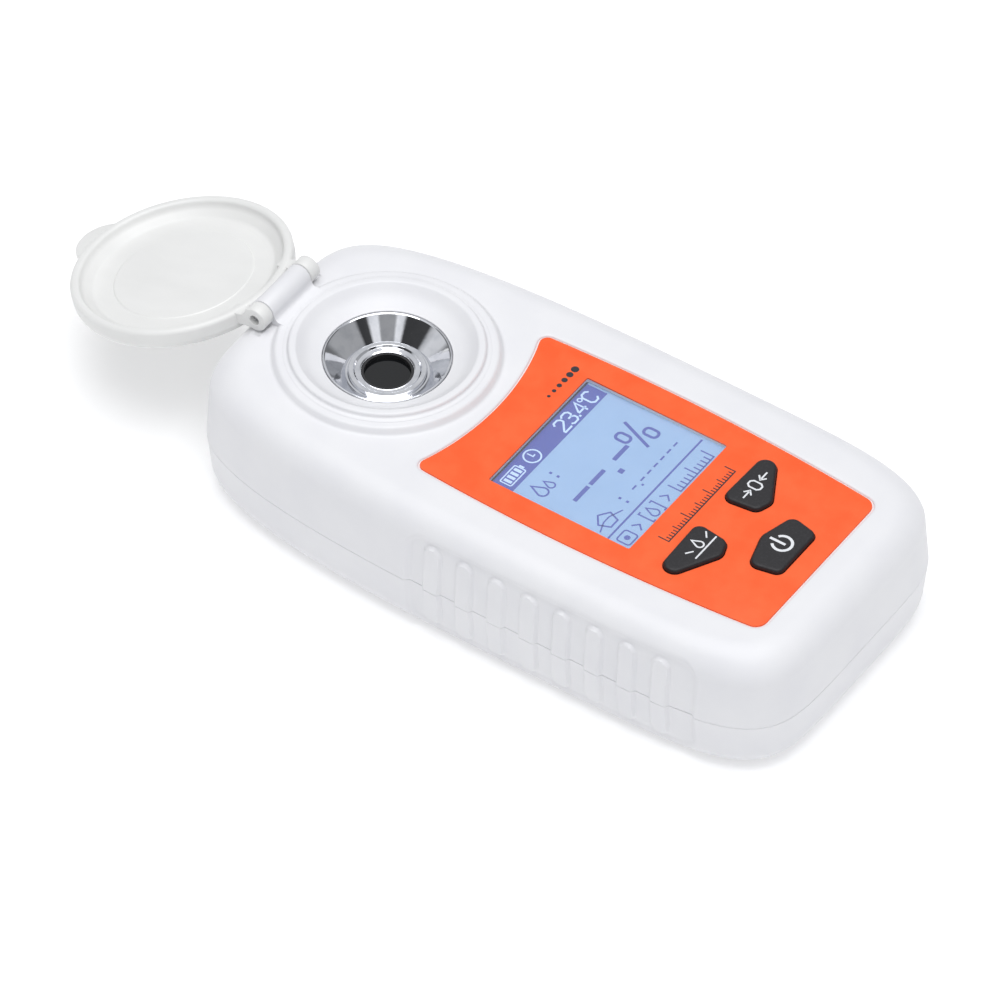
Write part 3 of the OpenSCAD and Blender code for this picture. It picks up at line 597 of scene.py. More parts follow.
def circuit_board():
    """Solder mask with copper tracks just showing through."""
    m = Nodes("board_green")
    tracks = m.new("ShaderNodeTexVoronoi", feature="DISTANCE_TO_EDGE", distance="MANHATTAN")
    m.fill(tracks, Vector=m.scaled_coords([400] * 3), Scale=1.0)
    line = m.ramp(tracks.outputs["Distance"], 0.05, 0.08, 1, 0)
    m.set(base_color=m.mix(line, srgb("0f5a2c"), srgb("1d7a40")), roughness=m.ramp(line, 0, 1, 0.3, 0.36))
    m.set(normal=m.bump(line, 0.02))
    return m.material


MATERIALS = {
    "case_white": moulded("case_white", (9.0,), 0.75, ("e9e9eb", "e5e5e8"), 0.16, (3.0, 0.006), 0.36,
                          specular_ior_level=0.45),
    "lid_white": moulded("lid_white", (7.0, 4.0, (1, 0.35, 1)), 0.7, ("e9e9e7", "e4e4e2"), 0.2,
                         (2.6, 0.005), 0.34),
    "label_orange": label_film(),
    "key_rubber": key_rubber(),
    "clear_window": clear("clear_window", (srgb("ffffff"), srgb("eef6ff")), 0.07, (4.0,), (0.04, 0.1)),
    "screen": screen_base(),
    "chrome_cup": chrome(),
    "lens_glass": clear_glass("lens_glass", "eef6ff", 0.25),
    "led_epoxy": clear_glass("led_epoxy", "f5b040", 0.85),
    "board_green": circuit_board(),
    "cell_sleeve": banded_cell(),
}
PLAIN = {
    "diffuser": dict(color="eef0f2", rough=0.6, grain_mm=0.5),
    "black_plastic": dict(color="262628", rough=0.55, grain_mm=0.2, grain_height=0.01),
    "black_seal": dict(color="1b1b1d", grain_mm=0.2, grain_height=0.01),
    "prism_glass": dict(color="0f1012", rough=0.08, spread=0.03, grain_height=0.0005, ior=1.5),
    "chip_black": dict(color="2b2b2d", rough=0.6, grain_mm=0.1, grain_height=0.006),
    "component_metal": dict(color="c2bfb8", rough=0.35, metal=0.9, grain_mm=0.4),
    "switch_metal": dict(color="cfcfcf", rough=0.3, metal=1.0, stretch=(1, 8, 1)),
    "steel": dict(color="c6c6c8", rough=0.28, metal=1.0, grain_mm=0.25, grain_height=0.003),
    "flex_amber": dict(color="b8792b", rough=0.3, grain_mm=0.6, stretch=(1, 6, 1)),
    "gasket_grey": dict(color="6d6d70", rough=0.6, grain_mm=0.2, grain_height=0.008),
    "probe_brown": dict(color="6a3a22", rough=0.3, grain_mm=0.5),
}
MATERIALS.update({slot: plain(slot, **look) for slot, look in PLAIN.items()})
BLUE_INK = ink("segment_blue", "3b4ba4", 0.35, glow=0.05)
PALE_INK = ink("segment_pale", "b9d3f0", 0.35, glow=0.12)
DARK_INK = ink("label_ink", "26242a", 0.5)
GREY_INK = ink("key_print", "dfe1e4", 0.5)


def finish(obj, body, slot, *replaced):
    """Hangs a piece on the empty of the body it rides on and hides the CAD nodes it takes the place of; slot
    is not used.
    """
    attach(obj, body)
    if replaced:
        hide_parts(*replaced)
    return obj


# ---- case -------------------------------------------------------------------------------------

def case_angles(grip_spacing=0.22, plain_spacing=0.6):
    """Outline angles from the far middle to the near middle, close together along the grips."""
    angles = []
    for half, (p, q) in ((1, FAR_EXP), (-1, NEAR_EXP)):
        up = np.linspace(0, 0.5 ** (1 / q), 1200)
        over = np.linspace(0.5 ** (1 / p), 0, 1200)
        a = np.concatenate([np.arcsin(up ** (q / 2)), np.arccos(over ** (p / 2))[1:]])
        angles.append(half * a)
    a = np.concatenate([angles[0][::-1], angles[1][1:]])
    xy = half_outline(a, 0)
    gap = np.linalg.norm(np.diff(xy, axis=0), axis=1)
    y = (xy[1:, 1] + xy[:-1, 1]) / 2
    dense = step(y, GRIP_LOW - 4, GRIP_LOW - 1) * (1 - step(y, GRIP_HIGH + 1, GRIP_HIGH + 4))
    run = np.concatenate([[0], np.cumsum(gap / (plain_spacing + (grip_spacing - plain_spacing) * dense))])
    return np.interp(np.linspace(0, run[-1], round(run[-1])), run, a)


def half_shape(far):
    """Exponents and length of the far half of the outline, or of the near half."""
    p = np.where(far, FAR_EXP[0], NEAR_EXP[0])
    q = np.where(far, FAR_EXP[1], NEAR_EXP[1])
    return p, q, np.where(far, HALF_L - JOIN_Y, HALF_L + JOIN_Y)


def half_outline(a, inset):
    p, q, length = half_shape(a >= 0)
    x = (HALF_W - inset) * np.maximum(np.cos(a), 0) ** (2 / p)
    y = JOIN_Y + np.sign(a) * (length - inset) * np.abs(np.sin(a)) ** (2 / q)
    return np.column_stack([x, y])


def case_outline(inset):
    """The whole outline, clockwise from the far middle."""
    right = half_outline(ANGLES, inset)
    left = right[-2:0:-1] * [-1, 1]
    return np.vstack([right, left])


ANGLES = case_angles()


def grip_depth(y, z):
    """How far the side is pressed in: a soft-edged panel with raised ribs."""
    cy, cz = (GRIP_LOW + GRIP_HIGH) / 2, (GRIP_TOP + GRIP_BOTTOM) / 2
    hy, hz = (GRIP_HIGH - GRIP_LOW) / 2, (GRIP_TOP - GRIP_BOTTOM) / 2
    qy, qz = np.abs(y - cy) - hy + GRIP_R, np.abs(z - cz) - hz + GRIP_R
    edge = np.hypot(np.maximum(qy, 0), np.maximum(qz, 0)) + np.minimum(np.maximum(qy, qz), 0) - GRIP_R
    panel = step(-edge, -0.35, 0.95)
    ribs = np.zeros_like(panel)
    for i in range(RIBS):
        at = RIB_MID + (i - (RIBS - 1) / 2) * RIB_PITCH
        reach = z - np.clip(z, RIB_BOTTOM + RIB_R, RIB_TOP - RIB_R)
        dist = RIB_R - np.hypot(y - at, reach)
        ribs = np.maximum(ribs, step(dist, -0.05, 0.52))
    return GRIP_DEPTH * panel * (1 - 0.93 * ribs)


def pressed(loops):
    """Moves a grid of loops inwards along its own normals by the depth of the grips."""
    grid = np.array(loops)
    across = np.roll(grid, -1, 1) - np.roll(grid, 1, 1)
    up = np.gradient(grid, axis=0)
    normal = np.cross(across, up)
    normal[0] = normal[1] = normal[2]
    normal /= np.maximum(np.linalg.norm(normal, axis=2, keepdims=True), 1e-9)
    centre = grid.mean(axis=(0, 1))
    out = np.sign(((grid - centre) * normal)[..., :2].sum(axis=2, keepdims=True))
    depth = grip_depth(grid[..., 1], grid[..., 2])[..., None]
    depth = depth * (np.abs(grid[..., :1]) > 15)
    return list(grid - normal * out * depth)


def slice_at(z, inset):
    return flat(case_outline(inset), z)


def top_slice(depth, inset):
    xy = case_outline(inset)
    return on_top(xy[:, 0], xy[:, 1] - LCD_Y, -depth)


def shoulder(a):
    """Slice of the shoulder at angle a: 0 on the side, 90 degrees on top."""
    return top_slice(SHOULDER_R * (1 - math.sin(a)), DRAFT_TOP + SHOULDER_R * (1 - math.cos(a)))


def top_height(x, y):
    """Height of the top face or shoulder over a place, from the outline's inset there."""
    x, y = np.abs(x), np.asarray(y, float)
    p, q, length = half_shape(y >= JOIN_Y)
    low, high = np.full(len(x), 0.0), np.full(len(x), 12.0)
    for _ in range(40):
        mid = (low + high) / 2
        out = (x / (HALF_W - mid)) ** p + (np.abs(y - JOIN_Y) / (length - mid)) ** q > 1
        high = np.where(out, mid, high)
        low = np.where(out, low, mid)
    back = np.clip((low - DRAFT_TOP) / SHOULDER_R, 0, 1)
    depth = SHOULDER_R * (1 - np.sqrt(np.clip(1 - (1 - back) ** 2, 0, 1)))
    return TOP_Z + (y - LCD_Y) * math.tan(TILT) - depth


def ceiling_height(y):
    return TOP_Z + (y - LCD_Y) * math.tan(TILT) - WALL / math.cos(TILT)


def case_top_blank():
    """Outer skin of the upper shell with its ring, hollow inside, before anything is cut."""
    shape = Shape()
    low = slice_at(PART_Z + SEAM, 0)
    side_end = shoulder(0)
    loops = [slice_at(PART_Z, SEAM), slice_at(PART_Z + SEAM * 0.4, SEAM * 0.35)]
    loops += [low + (side_end - low) * t for t in np.linspace(0, 1, 34)]
    loops += [shoulder(math.radians(a)) for a in range(3, 73, 3)]
    loops = pressed(loops)
    shape.loft(loops, caps=False)
    # flat top with the foot of the ring as a hole, and the last of the shoulder as loose points
    rim = loops[-1]
    foot = circle(0, CUP_Y, RING_FOOT_R, 360)
    rest = []
    for a in range(75, 91, 3):
        loop = shoulder(math.radians(a))
        rest.append(loop[np.hypot(loop[:, 0], loop[:, 1] - CUP_Y) > RING_FOOT_R + 0.25][::2])
    rest = np.vstack(rest)
    label = grow(label_outline(), 1.5)
    apart = np.column_stack([label[:, 0], label[:, 1] + LCD_Y])[::6]
    apart = apart[np.hypot(apart[:, 0], apart[:, 1] - CUP_Y) > RING_FOOT_R + 0.3]
    xy, tris = fill_flat(rim[:, :2], [foot], np.vstack([rest[:, :2], apart]))
    known = np.vstack([rim, rest])
    heights = top_height(xy[:, 0], xy[:, 1])
    for i, p in enumerate(xy):
        near = np.hypot(*(known[:, :2] - p).T)
        k = int(near.argmin())
        if near[k] < 1e-4:
            heights[i] = known[k, 2]
    shape.add(np.column_stack([xy, heights]), tris)
    # the ring: foot fillet, rise, rounded crown and the hole for the surround
    rise = RING_Z - RING_BASE
    profile = rounded([(RING_FOOT_R, 0, 0), (RING_R + 0.3, 0.0, 1.0), (RING_R - 0.5, rise - 0.08, 0.8),
                       (HOLE_R, rise, 0.18), (HOLE_R, -2.0, 0)], turn=7)
    unit = (foot - [0, CUP_Y]) / RING_FOOT_R
    rings = []
    for r, lift in profile:
        p = unit * r + [0, CUP_Y]
        sloping = r > HOLE_R + 1
        base = top_height(p[:, 0], p[:, 1]) if sloping else np.full(len(p), RING_BASE)
        if lift > 0:
            z = base + (RING_Z - base) * min(lift / rise, 1)
        else:
            z = base if sloping else base + lift
        rings.append(np.column_stack([p, z]))
    rings[0][:, 2] = top_height(foot[:, 0], foot[:, 1])
    outer = unit * (RING_R + 0.5) + [0, CUP_Y]
    ceiling = np.column_stack([outer, ceiling_height(outer[:, 1])])
    rings += [flat(unit * HOLE_R + [0, CUP_Y], RING_LOW), flat(outer, RING_LOW), ceiling]
    shape.loft(rings, caps=False)
    # inner skin and the flat edge between the two skins
    inner = [slice_at(PART_Z, WALL), top_slice(WALL + 3, WALL + 0.7), top_slice(WALL + 0.9, WALL + 1.6),
             top_slice(WALL, WALL + 3)]
    shape.loft([loops[0]] + inner, caps=False)
    xy, tris = fill_flat(inner[-1][:, :2], [ceiling[:, :2]])
    shape.add(np.column_stack([xy, ceiling_height(xy[:, 1])]), tris)
    return shape


def across_hinge(line, x):
    """A line of (y, z) measured from the hinge axis, stood up at x."""
    return np.column_stack([np.full(len(line), x), HINGE[1] + line[:, 0], HINGE[2] + line[:, 1]])


def eased_ends(x0, x1, edge, first, drop):
    """Places along X, each with how far the section shrinks there, that round off both ends."""
    start = [(0, edge), (first, drop), (edge, 0)]
    return [(x0 + x, d) for x, d in start] + [(x1 - x, d) for x, d in start[::-1]]


def hinge_cylinder(x0, x1, r, n=64):
    return Shape().loft([across_hinge(circle(0, 0, r, n), x) for x in (x0, x1)])


def hinge_barrel(x0, x1, r, edge=0.18, n=72):
    """A knuckle with slightly rounded ends."""
    ends = eased_ends(x0, x1, edge, edge * 0.3, edge * 0.3)
    return Shape().loft([across_hinge(circle(0, 0, r - d, n), x) for x, d in ends])


def tool(shape):
    return shape.object("tool", None)


def window_cutters():
    """Openings in the upper shell: label recess, window, display pocket and keys."""
    recess = plate(label_outline(), [(0.28, -LABEL_DEPTH), (0.34, -0.2), (0.44, -0.1), (0.6, -0.035),
                                     (0.8, 0.002), (1.1, 0.6)])
    window = rectangle(WINDOW_W + 0.15, WINDOW_L + 0.15, 0.5)
    through = plate(window, [(0, -2.4), (0, 0.5)])
    pocket = plate(rectangle(WINDOW_W + 5, WINDOW_L + 5, 0.6), [(0, -3.6), (0, -1.05)])
    keys = [plate(key_outline(which), [(KEY_GAP, -4), (KEY_GAP, 1)]) for which in KEYS]
    return [tool(t) for t in [recess, through, pocket] + keys]


def case_top():
    shell = case_top_blank().object("case_top_shell", MATERIALS["case_white"])
    knuckle = hinge_barrel(-MID_L / 2, MID_L / 2, KNUCKLE_R)
    web = rounded([(-2.0, -3.6, 0), (0.7, -3.6, 0), (0.7, -1.0, 0.3), (1.6, 0.3, 0.3), (0.4, 1.0, 0),
                   (-1.9, 0.7, 0), (-2.6, -1.0, 0.7), (-4.6, -1.14, 0), (-4.6, -2.6, 0)], closed=True)
    web_loops = [across_hinge(web, x) for x in (-MID_L / 2 + 0.05, MID_L / 2 - 0.05)]
    carve(shell, [tool(knuckle), tool(Shape().loft(web_loops))], "UNION")
    tools = window_cutters()
    for side in (-1, 1):
        ends = sorted((side * (MID_L / 2 + 0.05), side * (MID_L / 2 + 0.05 + LUG_ROOM)))
        tools.append(tool(hinge_cylinder(*ends, KNUCKLE_R + 0.5)))
    tools.append(tool(hinge_cylinder(-PIN_HOLE_HALF, PIN_HOLE_HALF, PIN_R)))
    carve(shell, tools)
    return finish(shell, "case", "case_white", "case_top")


def block(x, y, z):
    """A plain box between pairs of limits."""
    line = np.array([(x[0], y[0]), (x[1], y[0]), (x[1], y[1]), (x[0], y[1])])
    return Shape().loft([flat(line, h) for h in z])


def post(x, y, z, r, n=48):
    return Shape().loft([flat(circle(x, y, r, n), h) for h in z])


def case_bottom_blank():
    shape = Shape()
    loops = [slice_at(PART_Z, SEAM), slice_at(PART_Z - SEAM * 0.4, SEAM * 0.35)]
    high, low = slice_at(PART_Z - SEAM, 0), slice_at(FOOT_R, DRAFT_BOTTOM)
    loops += [high + (low - high) * t for t in np.linspace(0, 1, 32)]
    for a in np.radians(np.arange(6, 91, 6)):
        loops.append(slice_at(FOOT_R * (1 - math.sin(a)), DRAFT_BOTTOM + FOOT_R * (1 - math.cos(a))))
    loops = pressed(loops)
    shape.loft(loops, caps=False)
    xy, tris = fill_flat(loops[-1][:, :2], [])
    shape.add(flat(xy, 0.0), tris)
    inner = [slice_at(PART_Z, WALL), slice_at(WALL + 2.4, WALL + 0.7), slice_at(WALL + 0.7, WALL + 1.6),
             slice_at(WALL, WALL + 3)]
    shape.loft([loops[0]] + inner, caps=False)
    xy, tris = fill_flat(inner[-1][:, :2], [])
    shape.add(flat(xy, WALL), tris)
    return shape


def case_bottom():
    shell = case_bottom_blank().object("case_bottom_shell", MATERIALS["case_white"])
    bay = (BAY_Y - BAY_HALF, BAY_Y + BAY_HALF)
    walls = block((-15.7, 15.7), (bay[0] - 1.2, bay[1] + 1.2), (1.0, 10.6))
    bosses = [tool(post(x, y, (1.0, PART_Z), 3.0)) for x, y in SCREWS]
    carve(shell, [tool(walls)] + bosses, "UNION")
    gap = 0.15
    door_w = 13.5
    head_hole = [(2.2, 4.2), (2.2, 0.35), (2.3, 0.12), (2.5, -0.02), (2.9, -0.5)]
    tools = [
        block((-14.5, 14.5), bay, (3.2, 14.0)),
        block((-door_w + 1.2, door_w - 1.2), bay, (-1.0, 5.0)),
        block((-door_w - gap, door_w + gap), (door_low[1] - gap, door_high[1] + gap), (-1.0, 2.08)),
    ]
    for x, y in SCREWS:
        tools.append(Shape().loft([flat(circle(x, y, r, 48), z) for r, z in head_hole]))
        tools.append(post(x, y, (4.0, 20.0), 1.2, 32))
    tools = [tool(t) for t in tools]
    carve(shell, tools)
    return finish(shell, "case", "case_white", "case_bottom")


def cup_surround():
    """Raised lip, sloping bowl and ledge, with the flange that holds it in the case."""
    high = RING_Z
    profile = rounded([
        (9.95, RING_LOW, 0), (14, RING_LOW, 0), (14, 21.7, 0), (18.2, 21.7, 0.15), (18.2, RING_LOW, 0),
        (16.88, RING_LOW, 0),
        (16.88, high + 0.01, 0), (17.5, high + 0.01, 0), (17.45, high + 0.03, 0),
        (16.72, high + 0.12, 0.5), (16.5, LIP_TOP, 0.62), (15.35, LIP_TOP, 0.75),
        (13.6, 26.05, 7.0), (CUP_R + 0.55, 25.0, 0.5), (CUP_R + 0.2, 24.86, 0.12), (CUP_R + 0.14, 23.9, 0),
        (9.95, 23.9, 0)], closed=True, turn=5)
    obj = lathe(profile, (0, CUP_Y)).object("bowl_surround", MATERIALS["case_white"], 40)
    return finish(obj, "case", "case_white", "cup_surround")


def sample_cup():
    """Polished funnel: bright rim, straight cone, groove and raised collar round the prism."""
    profile = rounded([
        (4.45, 21.0, 0), (4.45, 21.52, 0.06), (4.75, 21.62, 0.1), (5.45, 21.74, 0.1), (5.75, 22.05, 0.12),
        (6.55, 22.05, 0.14), (6.72, 21.42, 0.08), (7.05, 21.4, 0.12), (10.42, CUP_Z - 0.09, 0.12),
        (10.62, CUP_Z, 0.08), (CUP_R, CUP_Z - 0.03, 0.08), (CUP_R, 23.95, 0), (9.85, 23.95, 0),
        (9.85, 23.3, 0), (7.6, 20.75, 0), (6.35, 20.75, 0), (6.35, 21.0, 0)], closed=True, turn=5)
    obj = lathe(profile, (0, CUP_Y)).object("chrome_funnel", MATERIALS["chrome_cup"], 50)
    return finish(obj, "case", "chrome_cup", "sample_cup")


# ---- label and keys ---------------------------------------------------------------------------

def label():
    top = FILM_T - LABEL_DEPTH
    film = plate(label_outline(), [(0, -LABEL_DEPTH), (0, top - 0.05), (-0.015, top - 0.015), (-0.06, top)])
    obj = film.object("label_film", MATERIALS["label_orange"], 60)
    tools = [tool(plate(rectangle(WINDOW_W, WINDOW_L, 0.35), [(0, -1), (0, 1)]))]
    for which in KEYS:
        tools.append(tool(plate(key_outline(which), [(KEY_GAP, -1), (KEY_GAP, 1)])))
    carve(obj, tools, smooth=60)
    return finish(obj, "case", "label_orange", "label_overlay")


def key(which):
    """Rubber key with a soft rounded edge, a slightly crowned top and its flange below."""
    line = key_outline(which)
    centre = line.mean(axis=0)
    edge = [(0, KEY_RISE - 0.62), (-0.03, KEY_RISE - 0.4), (-0.12, KEY_RISE - 0.2), (-0.26, KEY_RISE - 0.08),
            (-0.45, KEY_RISE - 0.02), (-0.7, KEY_RISE - 0.005)]
    levels = [(1.0, KEY_LOW), (1.0, KEY_LOW + 1), (0, KEY_LOW + 1), (0, -0.5)] + edge
    loops = [on_top(*grow(line, d).T, h) for d, h in levels]
    inner = grow(line, -0.7)
    for k in (0.75, 0.5, 0.25):
        x, v = (centre + (inner - centre) * k).T
        loops.append(on_top(x, v, KEY_RISE - 0.001))
    shape = Shape().loft(loops)
    obj = shape.object(f"key_{which}", MATERIALS["key_rubber"], 50)
    return finish(obj, f"{which}_key", "key_rubber", f"button_{which}")


class Marks:
    """Flat printed or displayed marks, each a thin closed solid."""

    def __init__(self, place, low, high):
        self.shape = Shape()
        self.place = place
        self.low, self.high = low, high
        self.origin = np.zeros(2)

    def at(self, x, v):
        self.origin = np.array([x, v], float)
        return self

    def poly(self, line):
        x, v = (np.asarray(line, float) + self.origin).T
        self.shape.loft([self.place(x, v, self.low), self.place(x, v, self.high)])

    def bar(self, x, v, w, l):
        self.poly(rectangle(w, l, x=x, y=v))

    def dot(self, x, v, r):
        self.poly(circle(x, v, r, 32))

    def stroke(self, path, width, closed=False):
        path = np.asarray(path, float)
        nxt, prv = np.roll(path, -1, 0), np.roll(path, 1, 0)
        if not closed:
            nxt[-1] = path[-1] * 2 - path[-2]
            prv[0] = path[0] * 2 - path[1]
        e1, e0 = nxt - path, path - prv
        out = mitred(e0, e1) * width / 2
        left, right = path + out + self.origin, path - out + self.origin
        sides = [self.place(*left.T, self.low), self.place(*right.T, self.low),
                 self.place(*right.T, self.high), self.place(*left.T, self.high)]
        loops = [np.array([s[i] for s in sides]) for i in range(len(path))]
        self.shape.loft(loops, caps=not closed, wrap=closed)

    def ring(self, x, v, r, width, a0=0.0, a1=TAU):
        whole = abs(a1 - a0) >= TAU - 1e-6
        line = circle(x, v, r, 40) if whole else arc((x, v), r, a0, a1, 32)
        self.stroke(line, width, closed=whole)

    def drop(self, x, v, h, width):
        """The outline of a drop of height h."""
        r = h * 0.3
        a = math.radians(35)
        round_part = arc((x, v - h / 2 + r), r, a, -math.pi - a, 28)
        self.stroke(np.vstack([[(x, v + h / 2)], round_part]), width, closed=True)

    def outline(self, x, v, w, l, r, width):
        """The outline of a box with rounded corners."""
        self.stroke(rectangle(w, l, r, x, v, turn=30), width, closed=True)

    def object(self, name, material, body, slot):
        return finish(self.shape.object(name, material, 30, weld=1e-6), body, slot)


GLYPHS = {
    "2": [[(0, 4.9), (0.9, 6), (3.1, 6), (4, 5), (4, 3.8), (0, 0.7), (0, 0), (4, 0)]],
    "3": [[(0, 5.2), (0.9, 6), (3.1, 6), (4, 5.1), (4, 3.9), (3.1, 3.1), (1.4, 3.1)],
          [(2.9, 3.1), (4, 2.2), (4, 0.9), (3.1, 0), (0.9, 0), (0, 0.8)]],
    "4": [[(3.1, 0), (3.1, 6), (0, 2.1), (0, 1.6), (4.1, 1.6)]],
    "C": [[(4, 4.9), (3, 6), (1.1, 6), (0, 4.9), (0, 1.1), (1.1, 0), (3, 0), (4, 1.1)]],
    "0": [[(0, 1.2), (0, 4.8), (1.1, 6), (2.9, 6), (4, 4.8), (4, 1.2), (2.9, 0), (1.1, 0)]],
}


def glyph(marks, text, x, v, height, width):
    unit = height / 6
    for path in GLYPHS[text]:
        marks.stroke([(x + a * unit, v + b * unit) for a, b in path], width, closed=text == "0")


def key_marks():
    high = KEY_RISE + 0.012
    low = KEY_RISE - 0.05
    power = Marks(on_top, low, high).at(KEYS["power"]["x"] + 0.25, KEYS["power"]["v"] - 0.2)
    power.ring(0, 0, 1.68, 0.5, math.radians(125), math.radians(415))
    power.stroke([(0, -0.6), (0, 2.4)], 0.5)
    power.object("mark_power", GREY_INK, "power_key", "key_rubber")
    left = Marks(on_top, low, high).at(KEYS["left"]["x"] + 1.75, KEYS["left"]["v"] + 0.45)
    left.drop(0, 0.55, 2.3, 0.3)
    left.stroke([(-3.1, -1.15), (3.1, -1.15)], 0.3)
    for side in (-1, 1):
        left.stroke([(side * 3.1, 0.9), (side * 1.9, 0.0)], 0.28)
    left.object("mark_sample", GREY_INK, "left_key", "key_rubber")
    right = Marks(on_top, low, high).at(KEYS["right"]["x"] - 0.6, KEYS["right"]["v"] + 0.6)
    glyph(right, "0", -0.8, -1.2, 2.4, 0.32)
    for side in (-1, 1):
        right.stroke([(side * 3.6, 0), (side * 1.6, 0)], 0.3)
        right.stroke([(side * 2.35, 0.75), (side * 1.5, 0), (side * 2.35, -0.75)], 0.3)
    right.object("mark_zero", GREY_INK, "right_key", "key_rubber")


def label_marks():
    """A graduated scale under the display and a row of dots above it, in place of any words."""
    high = FILM_T - LABEL_DEPTH + 0.012
    marks = Marks(on_top, high - 0.05, high).at(0.45, -17.3)
    marks.stroke([(-9.95, -1.05), (9.95, -1.05)], 0.24)
    for i in range(31):
        tall = 2.1 if i % 10 == 0 else 1.5 if i % 5 == 0 else 0.9
        x = -9.84 + i * 0.656
        marks.stroke([(x, -1.05), (x, -1.05 + tall)], 0.22)
    marks.at(11.1, 16.75)
    for i in range(6):
        marks.dot(-3.9 + 1.55 * i, 0, 0.3 + 0.08 * i)
    marks.object("label_scale", DARK_INK, "case", "label_orange")


# ---- display ----------------------------------------------------------------------------------

def on_glass(x, v, h):
    """Places on the display, from its upper left corner: x across, v down, h up."""
    x, v, h = np.broadcast_arrays(np.asarray(x, float), np.asarray(v, float), np.asarray(h, float))
    return np.column_stack([x - WINDOW_W / 2, LCD_Y + WINDOW_L / 2 - v, GLASS_TOP + h])


def flipped(x, v, h):
    """Glyphs are drawn upwards, so their height is turned round on the display."""
    return on_glass(x, -np.asarray(v, float), h)


def display():
    blue = Marks(flipped, -0.02, 0.02)
    header = 4.25
    blue.bar(WINDOW_W / 2 - 0.1, -header / 2, WINDOW_W - 0.5, header)
    # big dashes, point and per cent sign
    for x in (6.85, 11.5, 18.45):
        blue.bar(x, -13.85, 4.1, 0.8)
    blue.bar(14.95, -16.3, 1.05, 1.0)
    for x, v in ((21.6, -12.2), (25.2, -15.4)):
        blue.outline(x, v, 1.7, 2.6, 0.7, 0.55)
    blue.stroke([(22.15, -16.9), (24.8, -10.3)], 0.6)
    # a drop, a prism with its ray, and their colons
    blue.drop(3.6, -7.7, 3.3, 0.34)
    blue.drop(5.7, -8.2, 2.2, 0.3)
    blue.stroke([(2.4, -20.2), (4.2, -18.9), (6.0, -20.2), (5.2, -22.2), (3.2, -22.2)], 0.32, closed=True)
    blue.stroke([(1.2, -21.4), (3.4, -20.6), (5.0, -20.6), (7.6, -21.6)], 0.26)
    for x, v in ((8.0, -7.7), (9.6, -20.4)):
        for dv in (-0.75, 0.75):
            blue.bar(x, v + dv, 0.5, 0.5)
    # row of small dashes with its point
    for i in range(7):
        blue.bar(13.0 + 1.95 * i + (0.5 if i else 0), -20.2, 1.15, 0.34)
    blue.bar(14.3, -21.0, 0.42, 0.42)
    # line and bottom row: key, arrow, drop in brackets, arrow, ruled scale
    blue.bar(WINDOW_W / 2, -23.25, WINDOW_W - 1.0, 0.36)
    v = -25.75
    blue.outline(2.7, v, 2.8, 2.6, 0.5, 0.3)
    blue.dot(2.7, v, 0.55)
    for x in (5.4, 13.6):
        blue.stroke([(x, v + 1.0), (x + 1.0, v), (x, v - 1.0)], 0.32)
    for x, d in ((8.2, 1), (12.0, -1)):
        blue.stroke([(x + 0.6 * d, v + 1.5), (x, v + 1.5), (x, v - 1.5), (x + 0.6 * d, v - 1.5)], 0.3)
    blue.drop(10.1, v, 2.6, 0.3)
    for i in range(11):
        x = 16.6 + i * 0.98
        tall = 2.6 if i % 5 == 0 else 1.4
        blue.stroke([(x, v - 1.3), (x, v - 1.3 + tall)], 0.28)
    blue.stroke([(16.5, v - 1.3), (26.5, v - 1.3)], 0.28)
    blue.object("lcd_segments", BLUE_INK, "case", "screen")

    pale = Marks(flipped, 0.01, 0.035)
    pale.outline(3.9, -2.225, 4.4, 2.25, 0.25, 0.24)
    pale.bar(6.45, -2.22, 0.4, 0.95)
    for i in range(4):
        pale.bar(2.42 + i * 0.98, -2.22, 0.62, 1.5)
    pale.ring(9.5, -2.25, 1.5, 0.3)
    pale.stroke([(9.5, -1.2), (9.5, -2.4), (10.1, -2.4)], 0.26)
    for text, x in (("2", 17.3), ("3", 19.5), ("4", 22.4), ("C", 25.5)):
        glyph(pale, text, x, -3.65, 2.75, 0.36)
    pale.bar(21.85, -3.45, 0.42, 0.42)
    pale.ring(24.85, -1.3, 0.4, 0.24)
    pale.object("lcd_header", PALE_INK, "case", "screen")

    # Painted shadow: black strips along the display's top and left edges stand in for the shade cast there by
    # the wall round the sunken display.
    edge = Marks(flipped, -0.02, 0.03)
    edge.bar(WINDOW_W / 2, -0.02, WINDOW_W, 0.3)
    edge.bar(0.06, -WINDOW_L / 2, 0.16, WINDOW_L)
    edge.object("lcd_painted_edge_shadow", MATERIALS["black_plastic"], "case", "black_plastic")


# ---- lid --------------------------------------------------------------------------------------

def tab_reach(angle, z):
    """How far the rim runs out into the finger lobe, which blends softly on one side only."""
    lobe_r, lobe_at = 6.0, LID_R - 2.7
    a = angle - math.radians(4)
    across = np.minimum(np.abs(lobe_at * np.sin(a)), lobe_r)
    lobe = lobe_at * np.cos(a) + np.sqrt(lobe_r ** 2 - across ** 2) - LID_R
    lobe = np.where(np.abs(a) < math.radians(60), lobe, -5.0)
    soft = np.where(a > 0, 0.9, 0.12)
    reach = 0.5 * (lobe + np.sqrt(lobe ** 2 + soft ** 2)) - 0.5 * soft * np.exp(-np.abs(lobe) / soft)
    reach = np.where(lobe > -4.5, np.maximum(reach, 0), 0) * (1 - step(np.abs(a), 0.42, 0.6))
    up = step(z, LID_TOP - 3.1, LID_TOP - 2.8) * (1 - step(z, LID_TOP - 1.55, LID_TOP - 1.2))
    return reach * up


